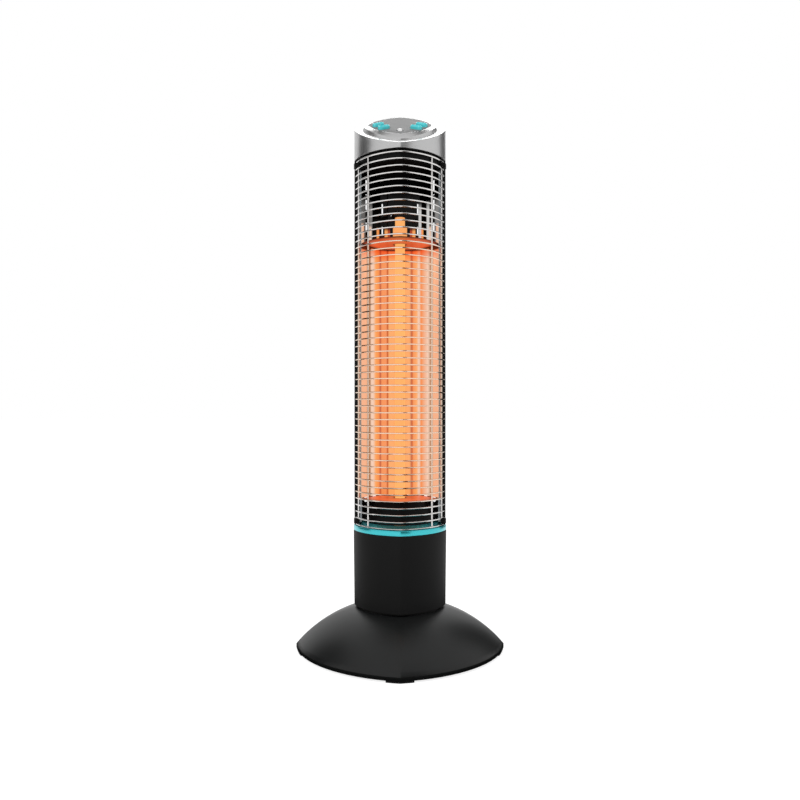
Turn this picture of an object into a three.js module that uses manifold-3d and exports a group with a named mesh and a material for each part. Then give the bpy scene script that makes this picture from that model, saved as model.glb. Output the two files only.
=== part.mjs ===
// Infrared patio heater tower: a four-cornered column with a wire guard over a carbon tube and reflector,
// turning on a wide domed base, with a slanted control head.
// Millimetres. +Z is up, -Y is the front, and the origin is on the floor under the centre of the base.
import * as THREE from "three";
import { mergeVertices } from "three/addons/utils/BufferGeometryUtils.js";
import Module from "manifold-3d";

const wasm = await Module();
wasm.setup();

// ---------------------------------------------------------------- driving dimensions

const gap = 0.3; // clearance between pieces that seat on each other

// The plan of every casing is a square on its corner with bowed sides.
const towerCorner = 70; // centre to corner, guard and head
const columnFlare = 1.2; // how much wider the trim ring and the top of the column are, at a corner
const towerBreak = 12; // degrees by which a side turns in from square at a corner
const baseCorner = 159;
const baseBreak = 10;
const arcSteps = 6; // facets on each bowed side

const wall = 2.5; // moulded casings
const footHeight = 3;
const footInset = 1.2; // of the pads from the rim's edge
const footDepth = 13;
const rimHeight = 6;
const domeTop = 66.5;
const domeArc = 172; // radius of the dome's profile
const domeWall = 3;
const basePlateThickness = 2.5;
const ballastCorner = 100;
const ballastThickness = 8;
const ballastBore = 45;

const wellRadius = 56; // round well under the column, for the turning gear
const wellDepth = 15.5;
const swivelGap = 1.7; // base top to the underside of the column
const spigotRadius = 13;
const spigotBore = 9;
const spigotLength = 28;
const turntableThickness = 3;
const sleeveWall = 3;
const gearModule = 1.5;
const sectorDiameter = 60; // pitch circles aimed at; whole teeth of the module come nearest to them
const pinionDiameter = 21;
const sectorTeeth = 14;
const gearAddendum = 0.8; // of the module
const gearDedendum = 1.2;
const backlash = 0.5;
const gearWidth = 6;
const pressureAngle = THREE.MathUtils.degToRad(20);

const columnHeight = 115;
const trimBand = 8; // height of the trim ring's outer band
const trimBevelRise = 5.5;
const guardPitch = 10; // ring to ring
const guardRings = 56;
const guardWire = 2.2; // ring wire, across
const guardUpright = 2.8; // upright wire, across
const guardInset = 1.5; // centre of the ring wire inside the plan
const guardUprightX = 47.3; // where the two front uprights stand
const headGap = 5; // top ring to the head
const postWidth = 4.5; // front flange of the rear housing
const postDepth = 3;
const postFront = -4.4; // y of the flange's front face

const reflectorBack = 38; // y of the reflector's middle facet
const reflectorThickness = 0.8;
const reflectorBottom = 233;
const shieldThickness = 1.2;
const lowerShieldZ = 231;
const upperShieldZ = 620;
const tubeRadius = 7.5;
const tubeWall = 1.2;
const tubeBottom = 206.3;
const tubeTop = 656;
const tubeClearance = 1.6; // round the tube where it passes a plate
const collarRadius = 10.8;
const collarHeight = 25;
const capPlugLength = 6;
const filamentWidth = 9;
const filamentThickness = 1;

const headSlope = THREE.MathUtils.degToRad(30.5);
const headFront = 7.27; // height of the head's skirt at the front corner
const headWall = 2.7;
const rimWidth = 11; // flat rim round the head
const grooveWidth = 2.2;
const grooveDepth = 2.2;
const bevelWidth = 5.8;
const bevelRise = 7.2;
const panelThickness = 2.2;
const panelLedge = 2.3; // includes the lip
const buttonLength = 20.5;
const buttonWidth = 9;
const buttonHeight = 5.2;
const buttonTurn = THREE.MathUtils.degToRad(38);
const boardDepth = 12; // panel face to the control board
const boardThickness = 1.6;
const boardCorner = 43;
const pillarRadius = 3;
const lensRadius = 4.2;

const screwShank = 1.5;
const screwHead = 4;
const screwHeadHeight = 1.9;
const leadRadius = 2.8;
const tubeLeadRadius = 2.2;

// ---------------------------------------------------------------- sizes that follow from them

const columnTopCorner = towerCorner + columnFlare;
const sectorTeethFull = Math.round(sectorDiameter / gearModule); // teeth that a full ring would have
const pinionTeeth = Math.round(pinionDiameter / gearModule);

const basePlateZ = footHeight + 0.5;
const basePlateTop = basePlateZ + basePlateThickness;
const innerFloor = basePlateTop + gap;
const wellFloor = domeTop - wellDepth;
const columnBottom = domeTop + swivelGap;
const turntableTop = columnBottom + turntableThickness;
const deckTop = turntableTop + gap;
const columnTop = columnBottom + columnHeight;
const trimBottom = columnTop + gap;
const trimStep = trimBottom + trimBand;
const trimTop = trimStep + trimBevelRise;
const housingBottom = trimStep + gap;
const firstRing = housingBottom + guardWire / 2 + 0.1;
const lastRing = firstRing + (guardRings - 1) * guardPitch;
const headBottom = lastRing + headGap;
const headMiddle = headBottom + headFront + towerCorner * Math.tan(headSlope); // rim above the middle
const upperCoverTop = lastRing - 8;
const upperCoverBottom = upperCoverTop - 2;
const reflectorTop = upperCoverBottom - gap;

// ---------------------------------------------------------------- shaping helpers

// One bowed side of the plan: the centre (-c, -c) and radius of the arc in the first quarter.
function planArc(corner, breakDegrees) {
  const half = THREE.MathUtils.degToRad(45 - breakDegrees);
  const radius = corner / Math.SQRT2 / Math.sin(half);
  const c = (radius * Math.cos(half) - corner / Math.SQRT2) / Math.SQRT2;
  return { radius, c };
}

// A closed outline of the plan, inset by a wall's thickness, anticlockwise from the +X corner.
function plan(corner, breakDegrees, inset = 0, steps = arcSteps) {
  const { radius, c } = planArc(corner, breakDegrees);
  const r = radius - inset;
  const start = Math.asin(c / r);
  const sweep = Math.PI / 2 - 2 * start;
  const points = [];
  for (let quarter = 0; quarter < 4; quarter++) {
    const centre = new THREE.Vector2(-c, -c);
    for (let i = 0; i < steps; i++) {
      const a = start + (sweep * i) / steps;
      const p = new THREE.Vector2(Math.cos(a), Math.sin(a)).multiplyScalar(r).add(centre);
      points.push(p.rotateAround(new THREE.Vector2(), (quarter * Math.PI) / 2));
    }
  }
  return points;
}

const towerPlan = (inset) => plan(towerCorner, towerBreak, inset);

// Distance from the axis to the middle of a bowed side.
function planSideRadius(corner, breakDegrees) {
  const { radius, c } = planArc(corner, breakDegrees);
  return radius - c * Math.SQRT2;
}

const housingSideRadius = planSideRadius(towerCorner, towerBreak);

// How far a bowed side stands from the Y axis at a given distance along Y.
function planHalfWidth(corner, breakDegrees, inset, y) {
  const { radius, c } = planArc(corner, breakDegrees);
  return Math.sqrt((radius - inset) ** 2 - (Math.abs(y) + c) ** 2) - c;
}

// Half the width of the tower across its front flanges. What stands between them is placed from it.
const flangeEdge = planHalfWidth(towerCorner, towerBreak, 0, postFront);

// Joins loops of as many points into a skin. An open skin is capped flat at both ends.
function loft(loops, closed = false) {
  const n = loops[0].length;
  const positions = loops.flat().flatMap((p) => [p.x, p.y, p.z]);
  const index = [];
  const bands = closed ? loops.length : loops.length - 1;
  for (let k = 0; k < bands; k++) {
    const low = k * n;
    const high = ((k + 1) % loops.length) * n;
    for (let i = 0; i < n; i++) {
      const j = (i + 1) % n;
      index.push(low + i, low + j, high + j, low + i, high + j, high + i);
    }
  }
  if (!closed) {
    for (const [k, flip] of [[0, true], [loops.length - 1, false]]) {
      for (const [a, b, c] of capTriangles(loops[k])) {
        index.push(k * n + a, k * n + (flip ? c : b), k * n + (flip ? b : c));
      }
    }
  }
  const geometry = new THREE.BufferGeometry();
  geometry.setAttribute("position", new THREE.Float32BufferAttribute(positions, 3));
  geometry.setIndex(index);
  return facingOut(geometry);
}

// Triangles across one flat loop, wound the way the loop runs.
function capTriangles(loop) {
  const normal = new THREE.Vector3();
  loop.forEach((p, i) => normal.add(new THREE.Vector3().crossVectors(p, loop[(i + 1) % loop.length])));
  const turn = new THREE.Quaternion().setFromUnitVectors(normal.normalize(), new THREE.Vector3(0, 0, 1));
  const flat = loop.map((p) => p.clone().applyQuaternion(turn)).map((p) => new THREE.Vector2(p.x, p.y));
  return THREE.ShapeUtils.triangulateShape(flat, []);
}

function facingOut(geometry) {
  const p = geometry.getAttribute("position");
  const index = geometry.getIndex();
  const [a, b, c] = [new THREE.Vector3(), new THREE.Vector3(), new THREE.Vector3()];
  let volume = 0;
  for (let i = 0; i < index.count; i += 3) {
    a.fromBufferAttribute(p, index.getX(i));
    b.fromBufferAttribute(p, index.getX(i + 1));
    c.fromBufferAttribute(p, index.getX(i + 2));
    volume += a.dot(b.cross(c));
  }
  if (volume < 0) {
    for (let i = 0; i < index.count; i += 3) {
      const second = index.getX(i + 1);
      index.setX(i + 1, index.getX(i + 2));
      index.setX(i + 2, second);
    }
  }
  return geometry;
}

// A loop of the plan at a height, which may be a number or a rule of the point.
function level(points, height) {
  const z = typeof height === "number" ? () => height : height;
  return points.map((p) => new THREE.Vector3(p.x, p.y, z(p)));
}

// A casing wall: a closed section of [inset, height] pairs carried round the plan.
function casing(section, corner = towerCorner, breakDegrees = towerBreak) {
  return loft(section.map(([inset, z]) => level(plan(corner, breakDegrees, inset), z)), true);
}

// An upright prism over an outline of Vector2 points, with holes.
function prism(outline, z0, z1, holes = []) {
  const shape = new THREE.Shape(outline);
  shape.holes = holes.map((h) => new THREE.Path(h));
  const geometry = new THREE.ExtrudeGeometry(shape, { depth: z1 - z0, bevelEnabled: false });
  return geometry.translate(0, 0, z0);
}

function circle(radius, x = 0, y = 0, sides = 24) {
  return Array.from({ length: sides }, (_, i) => {
    const a = (2 * Math.PI * i) / sides;
    return new THREE.Vector2(x + radius * Math.cos(a), y + radius * Math.sin(a));
  });
}

const disc = (radius, z0, z1, x = 0, y = 0, sides = 24) => prism(circle(radius, x, y, sides), z0, z1);

const ringPrism = (outer, inner, z0, z1, sides = 24) =>
  prism(circle(outer, 0, 0, sides), z0, z1, [circle(inner, 0, 0, sides)]);

function block(x0, x1, y0, y1, z0, z1) {
  const geometry = new THREE.BoxGeometry(x1 - x0, y1 - y0, z1 - z0);
  return geometry.translate((x0 + x1) / 2, (y0 + y1) / 2, (z0 + z1) / 2);
}

// A round rod along Y.
function rodY(radius, y0, y1, x, z, sides = 20) {
  const geometry = new THREE.CylinderGeometry(radius, radius, y1 - y0, sides);
  return geometry.translate(x, (y0 + y1) / 2, z);
}

// A round rod pointing away from the axis.
function radialRod(radius, from, to, angle, z, sides = 12) {
  return rodY(radius, from, to, 0, z, sides).rotateZ(angle - Math.PI / 2);
}

// A pill outline, long along X.
function pill(length, width, steps = 5) {
  const r = width / 2;
  const reach = length / 2 - r;
  const end = (side) =>
    Array.from({ length: steps + 1 }, (_, i) => {
      const a = side * (Math.PI / 2) + (Math.PI * i) / steps - Math.PI;
      return new THREE.Vector2(side * reach + r * Math.cos(a), r * Math.sin(a));
    });
  return [...end(-1), ...end(1)];
}

// A lead of round wire through a list of points.
function lead(points, radius = leadRadius, steps = 24, sides = 6) {
  const path = new THREE.CatmullRomCurve3(points.map((p) => new THREE.Vector3(...p)));
  const shape = new THREE.Shape(circle(radius, 0, 0, sides));
  return new THREE.ExtrudeGeometry(shape, { steps, extrudePath: path, bevelEnabled: false });
}

// ---------------------------------------------------------------- joining and cutting

function solid(geometry) {
  if (geometry instanceof wasm.Manifold) return geometry;
  const flat = geometry.index ? geometry.toNonIndexed() : geometry;
  const bare = new THREE.BufferGeometry().setAttribute("position", flat.getAttribute("position"));
  const merged = mergeVertices(bare, 1e-4);
  const vertProperties = new Float32Array(merged.attributes.position.array);
  const triVerts = new Uint32Array(merged.index.array);
  return new wasm.Manifold(new wasm.Mesh({ numProp: 3, vertProperties, triVerts }));
}

const join = (...parts) => parts.map(solid).reduce((a, b) => a.add(b));
const cut = (whole, ...tools) => tools.map(solid).reduce((a, b) => a.subtract(b), solid(whole));
const overlap = (a, b) => solid(a).intersect(solid(b));

function surface(shape) {
  if (!(shape instanceof wasm.Manifold)) return shape;
  const mesh = shape.simplify(0.01).getMesh();
  const geometry = new THREE.BufferGeometry();
  geometry.setAttribute("position", new THREE.BufferAttribute(new Float32Array(mesh.vertProperties), 3));
  geometry.setIndex(new THREE.BufferAttribute(new Uint32Array(mesh.triVerts), 1));
  return geometry;
}

// ---------------------------------------------------------------- finishes

const finish = (color, roughness, metalness) =>
  new THREE.MeshStandardMaterial({ color, roughness, metalness });
const blackPlastic = finish(0x1b1b1b, 0.5, 0);
const tealPaint = finish(0x3fc4cc, 0.3, 0.4);
const silverPaint = finish(0xb4b4b4, 0.3, 0.8);
const panelGrey = finish(0x8f8f8f, 0.5, 0.2);
const tealPlastic = finish(0x62d2d8, 0.3, 0);
const chromeWire = finish(0xcfcfcf, 0.2, 1);
const brightAluminium = finish(0xd8d8d8, 0.15, 1);
const zincSteel = finish(0x9aa0a2, 0.4, 1);
const castIron = finish(0x3a3a3a, 0.8, 0.6);
const rubber = finish(0x141414, 0.9, 0);
const quartz = finish(0xffb060, 0.05, 0);
const carbon = finish(0xff8a30, 0.7, 0);
const ceramic = finish(0xe8e0d0, 0.6, 0);
const naturalPlastic = finish(0xe6e2d6, 0.5, 0);
const circuitBoard = finish(0x1f5a3a, 0.6, 0);
const cableSheath = finish(0x202020, 0.6, 0);
const clearLens = finish(0xf2f2f2, 0.15, 0);

function piece(name, shape, material) {
  const mesh = new THREE.Mesh(surface(shape), material);
  mesh.name = name;
  return mesh;
}

// ---------------------------------------------------------------- base

// Profile of the dome, from the rim up to the flat top, as [corner radius, height] pairs.
function domeProfile(offset, steps = 5) {
  const rim = new THREE.Vector2(baseCorner, footHeight + rimHeight);
  const top = new THREE.Vector2(towerCorner, domeTop);
  const half = rim.distanceTo(top) / 2;
  const middle = rim.clone().add(top).multiplyScalar(0.5);
  const inward = top.clone().sub(rim).normalize().rotateAround(new THREE.Vector2(), Math.PI / 2);
  const centre = middle.addScaledVector(inward, Math.sqrt(domeArc ** 2 - half ** 2));
  const a0 = rim.clone().sub(centre).angle();
  const a1 = top.clone().sub(centre).angle();
  return Array.from({ length: steps + 1 }, (_, i) => {
    const a = a0 + ((a1 - a0) * i) / steps;
    const p = new THREE.Vector2(Math.cos(a), Math.sin(a)).multiplyScalar(domeArc - offset).add(centre);
    return [p.x, p.y];
  });
}

const screwAngles = [45, 135, 225, 315].map(THREE.MathUtils.degToRad);
const screwCircle = 121;
const tipSwitchCircle = 117;
const tipSwitchAngle = THREE.MathUtils.degToRad(20);
const plungerRadius = 3.8;
const glandZ = 20;
const glandRadius = 5.5;

function makeBaseShell() {
  const outer = loft([
    level(plan(baseCorner, baseBreak), footHeight),
    ...domeProfile(0).map(([corner, z]) => level(plan(corner, baseBreak), z)),
  ]);
  const cavity = loft([
    level(plan(baseCorner, baseBreak, domeWall), footHeight - 1),
    ...domeProfile(domeWall).map(([corner, z]) => level(plan(corner, baseBreak), z)),
  ]);
  const wellOuter = disc(wellRadius + wall, wellFloor - domeWall, domeTop - domeWall / 2, 0, 0, 40);
  const bosses = screwAngles.map((a) =>
    overlap(outer, disc(5, innerFloor, domeTop, screwCircle * Math.cos(a), screwCircle * Math.sin(a), 12)),
  );
  const bores = screwAngles.map((a) =>
    disc(screwShank + gap, 0, innerFloor + 16, screwCircle * Math.cos(a), screwCircle * Math.sin(a), 12),
  );
  return cut(
    join(cut(outer, cavity), wellOuter, ...bosses),
    disc(wellRadius, wellFloor, domeTop + 1, 0, 0, 40),
    disc(spigotRadius + gap + sleeveWall + gap, 0, domeTop, 0, 0, 24),
    rodY(glandRadius + gap, baseCorner / 2, baseCorner, 0, glandZ, 16),
    ...bores,
  );
}

function makeBasePlate() {
  const holes = screwAngles.map((a) =>
    circle(screwShank + 2 * gap, screwCircle * Math.cos(a), screwCircle * Math.sin(a), 12),
  );
  const plunger = new THREE.Vector2(tipSwitchCircle, 0).rotateAround(new THREE.Vector2(), tipSwitchAngle);
  holes.push(circle(plungerRadius + 2 * gap, plunger.x, plunger.y, 16));
  return prism(plan(baseCorner, baseBreak, domeWall + gap), basePlateZ, basePlateTop, holes);
}

const makeBallast = () =>
  prism(plan(ballastCorner, baseBreak), innerFloor, innerFloor + ballastThickness, [
    circle(ballastBore, 0, 0, 32),
  ]);

// A pad under the +X corner, following the rim to a given distance on both sides of the corner.
function makeFoot(halfLength) {
  const steps = 4;
  const side = (inset) =>
    Array.from({ length: 2 * steps + 1 }, (_, i) => {
      const y = halfLength * (i / steps - 1);
      return new THREE.Vector2(planHalfWidth(baseCorner, baseBreak, inset, y), y);
    });
  const outline = [...side(footInset), ...side(footInset + footDepth).reverse()];
  return prism(outline, 0, footHeight - gap);
}

const feet = [
  ["foot_right", 35, 0],
  ["foot_back", 19.5, Math.PI / 2],
  ["foot_left", 35, Math.PI],
  ["foot_front", 19.5, -Math.PI / 2],
];

function makeGland() {
  const inner = baseCorner - 27;
  const outer = baseCorner - 1;
  const bore = 3.6;
  const body = rodY(glandRadius, inner + 1, outer, 0, glandZ, 16);
  const flange = rodY(glandRadius + 2, inner, inner + 3.5, 0, glandZ, 16);
  return cut(join(body, flange), rodY(bore, inner - 2, outer + 2, 0, glandZ, 12));
}

function makeTerminalBlock() {
  const z0 = innerFloor;
  const body = join(block(-17, 17, 114, 130, z0, z0 + 9), block(-17, 17, 118, 126, z0 + 8.5, z0 + 14));
  const posts = [-11, 0, 11].map((x) => rodY(2.4, 110, 134, x, z0 + 4.5, 10));
  return cut(body, ...posts);
}

const chamberFloor = innerFloor + 2;
const chamberHeight = 12;
const plungerCollarHeight = 1.5;
const plungerTravel = 5;

function makeTipSwitch() {
  const body = block(-10, 10, -8, 8, innerFloor, chamberFloor + chamberHeight + 2);
  return cut(
    body,
    disc(plungerRadius + gap + 0.1, 0, chamberFloor + 1, 0, 0, 16),
    disc(plungerRadius + 2, chamberFloor, chamberFloor + chamberHeight, 0, 0, 16),
  );
}

// The plunger is shown pushed in by the floor; it drops by its travel when the base is lifted.
function makePlunger() {
  const collarZ = chamberFloor + gap + plungerTravel;
  const r = plungerRadius;
  const profile = [
    [0, 0],
    [r - 1.2, 0],
    [r, 1.2],
    [r, collarZ],
    [r + 1.5, collarZ],
    [r + 1.5, collarZ + plungerCollarHeight],
    [r, collarZ + plungerCollarHeight],
    [r, collarZ + plungerCollarHeight + 2],
    [0, collarZ + plungerCollarHeight + 2],
  ];
  const lathe = new THREE.LatheGeometry(profile.map(([x, y]) => new THREE.Vector2(x, y)), 16);
  return lathe.rotateX(Math.PI / 2);
}

function makeScrew(length) {
  const head = screwHeadHeight;
  const profile = [
    [0, -head],
    [screwHead - 1, -head],
    [screwHead, -head + 0.8],
    [screwHead, 0],
    [screwShank, 0],
    [screwShank, length],
    [0, length],
  ];
  const lathe = new THREE.LatheGeometry(profile.map(([x, y]) => new THREE.Vector2(x, y)), 12);
  const slot = block(-2.4, 2.4, -0.5, 0.5, -head - 1, -head + 0.9);
  return cut(lathe.rotateX(Math.PI / 2), slot, slot.clone().rotateZ(Math.PI / 2));
}

// Points down the flanks of one involute tooth, from its root up one side and down the other.
function toothPoints(teeth, middle, radii) {
  const pitch = (gearModule * teeth) / 2;
  const baseCircle = pitch * Math.cos(pressureAngle);
  const involute = (r) => {
    const a = Math.acos(Math.min(1, baseCircle / r));
    return Math.tan(a) - a;
  };
  const thickness = (Math.PI * gearModule - backlash) / 2;
  const half = (r) => thickness / (2 * pitch) + involute(pitch) - involute(r);
  const polar = (r, a) => new THREE.Vector2(r * Math.cos(a), r * Math.sin(a));
  const flank = (side) => radii.map((r) => polar(r, middle + side * half(r)));
  return [...flank(-1), ...flank(1).reverse()];
}

const sectorPitch = (gearModule * sectorTeethFull) / 2;
const pinionPitch = (gearModule * pinionTeeth) / 2;
const gearCentres = sectorPitch + pinionPitch;
const sectorRoot = sectorPitch - gearDedendum * gearModule;
const sectorTip = sectorPitch + gearAddendum * gearModule;
const sleeveOuter = spigotRadius + gap + sleeveWall;
const gearBottom = wellFloor + gap;

// Fixed to the floor of the well: a toothed sector towards the back, round the sleeve that guides the spigot.
function makeSwivelGear() {
  const toothStep = (2 * Math.PI) / sectorTeethFull;
  const hub = sleeveOuter + 5;
  const first = Math.PI / 2 - ((sectorTeeth - 1) / 2 + 0.5) * toothStep;
  const outline = [];
  for (let i = 0; i < sectorTeeth; i++) {
    const middle = first + (i + 0.5) * toothStep;
    outline.push(...toothPoints(sectorTeethFull, middle, [sectorRoot, sectorPitch, sectorTip]));
  }
  const last = first + sectorTeeth * toothStep;
  const backSteps = 16;
  for (let i = 0; i <= backSteps; i++) {
    const a = last + ((2 * Math.PI - sectorTeeth * toothStep) * i) / backSteps;
    outline.push(new THREE.Vector2(hub * Math.cos(a), hub * Math.sin(a)));
  }
  const bore = circle(spigotRadius + gap, 0, 0, 32);
  const gear = prism(outline, gearBottom, gearBottom + gearWidth, [bore]);
  const sleeve = ringPrism(sleeveOuter, spigotRadius + gap, sleeveBottom, gearBottom + 1);
  return join(gear, sleeve);
}

const sleeveBottom = wellFloor - domeWall - 3;
const retainerThickness = 1.6;
const retainerBottom = sleeveBottom - 0.5 - retainerThickness;
const retainerBore = spigotRadius - 1;

const makeSwivelWasher = () =>
  ringPrism(wellRadius + 6.5, wellRadius + 1.5, domeTop + gap, columnBottom - gap, 40);

const boardY = -16; // front face of the power board
const connectorZ = 92;

// Mains lead from the terminal block to the turning axis, and up it into the column.
const makeSupplyLead = () =>
  lead([
    [0, 113.4, innerFloor + 4.5],
    [0, 110, innerFloor + 5],
    [0, 104.5, 16.5],
    [0, 97, 18.3],
    [0, 80, 18.5],
    [0, 50, 18.5],
    [0, 22, 19],
    [0, 5, 26],
    [0, 0, 40],
    [0, 0, 65],
    [0, 0, connectorZ - gap],
  ], leadRadius, 24);

// ---------------------------------------------------------------- column foot

function makeTurntable() {
  const plate = prism(towerPlan(wall + gap), columnBottom, turntableTop);
  const spigot = disc(spigotRadius, columnBottom - spigotLength, columnBottom + 1, 0, 0, 32);
  const grooveTop = retainerBottom + retainerThickness + gap;
  return cut(
    join(plate, spigot),
    ringPrism(spigotRadius + 2, retainerBore - gap, retainerBottom - gap, grooveTop),
    disc(spigotBore, 0, turntableTop + 1, 0, 0, 24),
    disc(pinionShaft + 1.5, 0, turntableTop + 1, 0, gearCentres, 16),
  );
}

// A spring clip in a groove round the spigot, just under the sleeve.
function makeRetainer() {
  const top = retainerBottom + retainerThickness;
  const ring = ringPrism(sleeveOuter, retainerBore, retainerBottom, top);
  return cut(ring, block(-6, 6, 0, sleeveOuter + 1, retainerBottom - 1, top + 1));
}

function makeColumnShell() {
  const taper = columnTopCorner - towerCorner;
  const at = (inset, z, share) => level(plan(towerCorner + taper * share, towerBreak, inset), z);
  return loft(
    [
      at(1.6, columnBottom, 0),
      at(0.5, columnBottom + 0.8, 0),
      at(0, columnBottom + 2.8, 0),
      at(0, columnTop, 1),
      at(wall, columnTop, 1),
      at(wall, columnBottom, 0),
    ],
    true,
  );
}

const motorRadius = 21;
const motorHeight = 20;
const motorY = gearCentres - 2.5;
const pinionShaft = 3;
const shaftSeat = 6;

function makeMotor() {
  const can = disc(motorRadius, deckTop, deckTop + motorHeight, 0, motorY, 28);
  const ears = block(-motorRadius - 8, motorRadius + 8, motorY - 5, motorY + 5, deckTop, deckTop + 1.5);
  const socket = block(-9, 9, motorY - motorRadius - 4, motorY - motorRadius + 4, deckTop + 10, deckTop + 17);
  const bore = disc(pinionShaft + gap, deckTop - 1, deckTop + shaftSeat + gap, 0, gearCentres, 16);
  const earHoles = [-1, 1].map((s) => disc(1.8, 0, deckTop + 5, s * (motorRadius + 4.5), motorY, 10));
  return cut(join(can, ears, socket), bore, ...earHoles);
}

// Built round its own axis; a tooth faces the gap in the middle of the sector.
function makePinion() {
  const root = pinionPitch - gearDedendum * gearModule;
  const base = pinionPitch * Math.cos(pressureAngle);
  const tip = pinionPitch + gearAddendum * gearModule;
  const outline = [];
  for (let i = 0; i < pinionTeeth; i++) {
    const middle = -Math.PI / 2 + (i * 2 * Math.PI) / pinionTeeth;
    outline.push(...toothPoints(pinionTeeth, middle, [root, base, pinionPitch, tip]));
  }
  const gear = prism(outline, gearBottom + 0.5, gearBottom + gearWidth - 0.5);
  const shaft = disc(pinionShaft, gearBottom + 1, deckTop + shaftSeat, 0, 0, 16);
  return join(gear, shaft);
}

function makePowerBoard() {
  const back = boardY + boardThickness;
  const board = block(-32, 32, boardY, back, deckTop, deckTop + 80);
  const part = (x0, x1, depth, z0, z1) => block(x0, x1, back - 0.2, back + depth, z0, z1);
  return join(
    board,
    part(-8, 8, 22, connectorZ, connectorZ + 12),
    part(-29, -11, 16, 116, 136),
    part(-8, 10, 16, 116, 136),
    part(14, 29, 12, 112, 140),
    part(-28, -13, 9, 80, 100),
    part(14, 26, 7, 82, 96),
    part(-25, -13, 6, 144, plugTop),
    part(14, 26, 6, 144, plugTop),
  );
}

const trimLedge = 13.5; // inset of the flat ledge inside the bevel
const housingScrewAngles = [45, 135].map(THREE.MathUtils.degToRad);
const housingScrewZ = trimTop + 5;

// The ring has two upstands at the back that take the screws of the rear housing.
function makeTrimRing() {
  const ring = casing(
    [
      [0, trimBottom],
      [0, trimStep - 0.8],
      [0.8, trimStep],
      [6.6, trimStep],
      [6.8, trimStep + 0.8],
      [trimLedge, trimTop],
      [trimLedge + 4.5, trimTop],
      [trimLedge + 4.5, trimTop - 2.2],
      [trimLedge, trimTop - 2.2],
      [7.6, trimStep - 1.4],
      [3.2, trimStep - 3],
      [3.2, trimBottom],
    ],
    columnTopCorner,
  );
  const middle = housingSideRadius - wall - 3 * gap;
  const upstands = housingScrewAngles.map((a) =>
    block(middle - 8, middle, -5, 5, trimStep - 1, housingScrewZ + 5).rotateZ(a),
  );
  const bores = housingScrewAngles.map((a) =>
    radialRod(screwShank + gap, middle - 9, middle + 1, a, housingScrewZ),
  );
  return cut(join(ring, ...upstands), ...bores);
}

// ---------------------------------------------------------------- tower

const coverFlange = towerCorner - 13; // lies on the trim ring's ledge
const coverBottom = trimTop + gap;
const coverTop = lowerShieldZ - gap;
const coverSteps = 3;
const coverTopCorner = 38;
const leadX = 20;
const leadY = 45.5;

// A stepped hollow pyramid that carries the lower shield and hides the lower end of the tube.
function makeLowerCover() {
  const rise = (coverTop - coverBottom) / coverSteps;
  const tread = (coverFlange - coverTopCorner) / coverSteps;
  const outside = [];
  const inside = [];
  for (let i = 0; i < coverSteps; i++) {
    const corner = coverFlange - tread * i;
    const z = coverBottom + rise * i;
    outside.push([corner, z], [corner - tread / 3, z + rise]);
    inside.push([corner - 2, z - (i ? 2 : 0)], [corner - tread / 3 - 2, z + rise - 2]);
  }
  const loops = [...inside.reverse(), ...outside].map(([corner, z]) => level(plan(corner, towerBreak), z));
  const half = leadRadius + 3;
  const notch = (x) => block(x - half, x + half, leadY - 12, leadY + 20, coverBottom - 1, coverTop + 1);
  return cut(loft(loops), disc(tubeRadius + tubeClearance, 0, coverTop + 1), notch(leadX), notch(-leadX));
}

// The reflector's inner face from the right lip to the middle facet, as [distance from the flange, y].
const reflectorHalf = [
  [10.55, -8],
  [19.95, 8],
  [26.95, 20],
  [37.45, 32],
  [49.65, reflectorBack],
].map(([inwards, y]) => [flangeEdge - inwards, y]);
const reflectorInside = [
  ...reflectorHalf.map(([x, y]) => new THREE.Vector2(x, y)),
  ...reflectorHalf.map(([x, y]) => new THREE.Vector2(-x, y)).reverse(),
];

// Moves an open line of points sideways, to its right when the distance is positive.
function offsetLine(line, distance) {
  return line.map((p, i) => {
    const before = line[Math.max(i - 1, 0)];
    const after = line[Math.min(i + 1, line.length - 1)];
    const into = p.clone().sub(before);
    const out = after.clone().sub(p);
    if (!into.lengthSq()) into.copy(out);
    if (!out.lengthSq()) out.copy(into);
    const n0 = new THREE.Vector2(into.y, -into.x).normalize();
    const n1 = new THREE.Vector2(out.y, -out.x).normalize();
    const miter = n0.clone().add(n1).normalize();
    return p.clone().addScaledVector(miter, distance / miter.dot(n0));
  });
}

// Vents near the top: slots through the reflector, and wider ones behind them in the rear housing.
const slotRows = [
  [641, 655],
  [674.5, 691],
];
const slotWidth = 2;
const highSlotRow = [704.5, 722];
// Each column of slots: X, the range of Y that its cutter spans, its rows and the pinholes between them.
const slotColumns = [
  [flangeEdge - 41, 20, 45, slotRows, [664]],
  [flangeEdge - 17, -6, 12, [...slotRows, highSlotRow], [664, 697.5]],
];
const ventWidth = 5;
const ventColumns = [14, 28.4, 41, 53.5];
const ventRise = 7; // how much higher a housing vent reaches than the slot in front of it
const lowerVentRows = [
  [222, 235],
  [240, 253],
];
const mirrored = (values) => values.flatMap((v) => [v, -v]);
const upperLeadZ = 673;
const upperLeadX = -12;

function makeReflector() {
  const outside = offsetLine(reflectorInside, reflectorThickness);
  const sheet = prism([...outside, ...reflectorInside.slice().reverse()], reflectorBottom, reflectorTop);
  const slots = slotColumns.flatMap(([column, front, back, rows, pinholes]) =>
    mirrored([column]).flatMap((x) => [
      ...rows.map(([low, high]) => block(x - slotWidth / 2, x + slotWidth / 2, front, back, low, high)),
      ...pinholes.map((z) => rodY(slotWidth / 2, front, back, x, z, 8)),
    ]),
  );
  const leadHole = rodY(leadRadius + 1.2, 30, 45, upperLeadX, upperLeadZ, 12);
  return cut(sheet, ...slots, leadHole);
}

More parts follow.
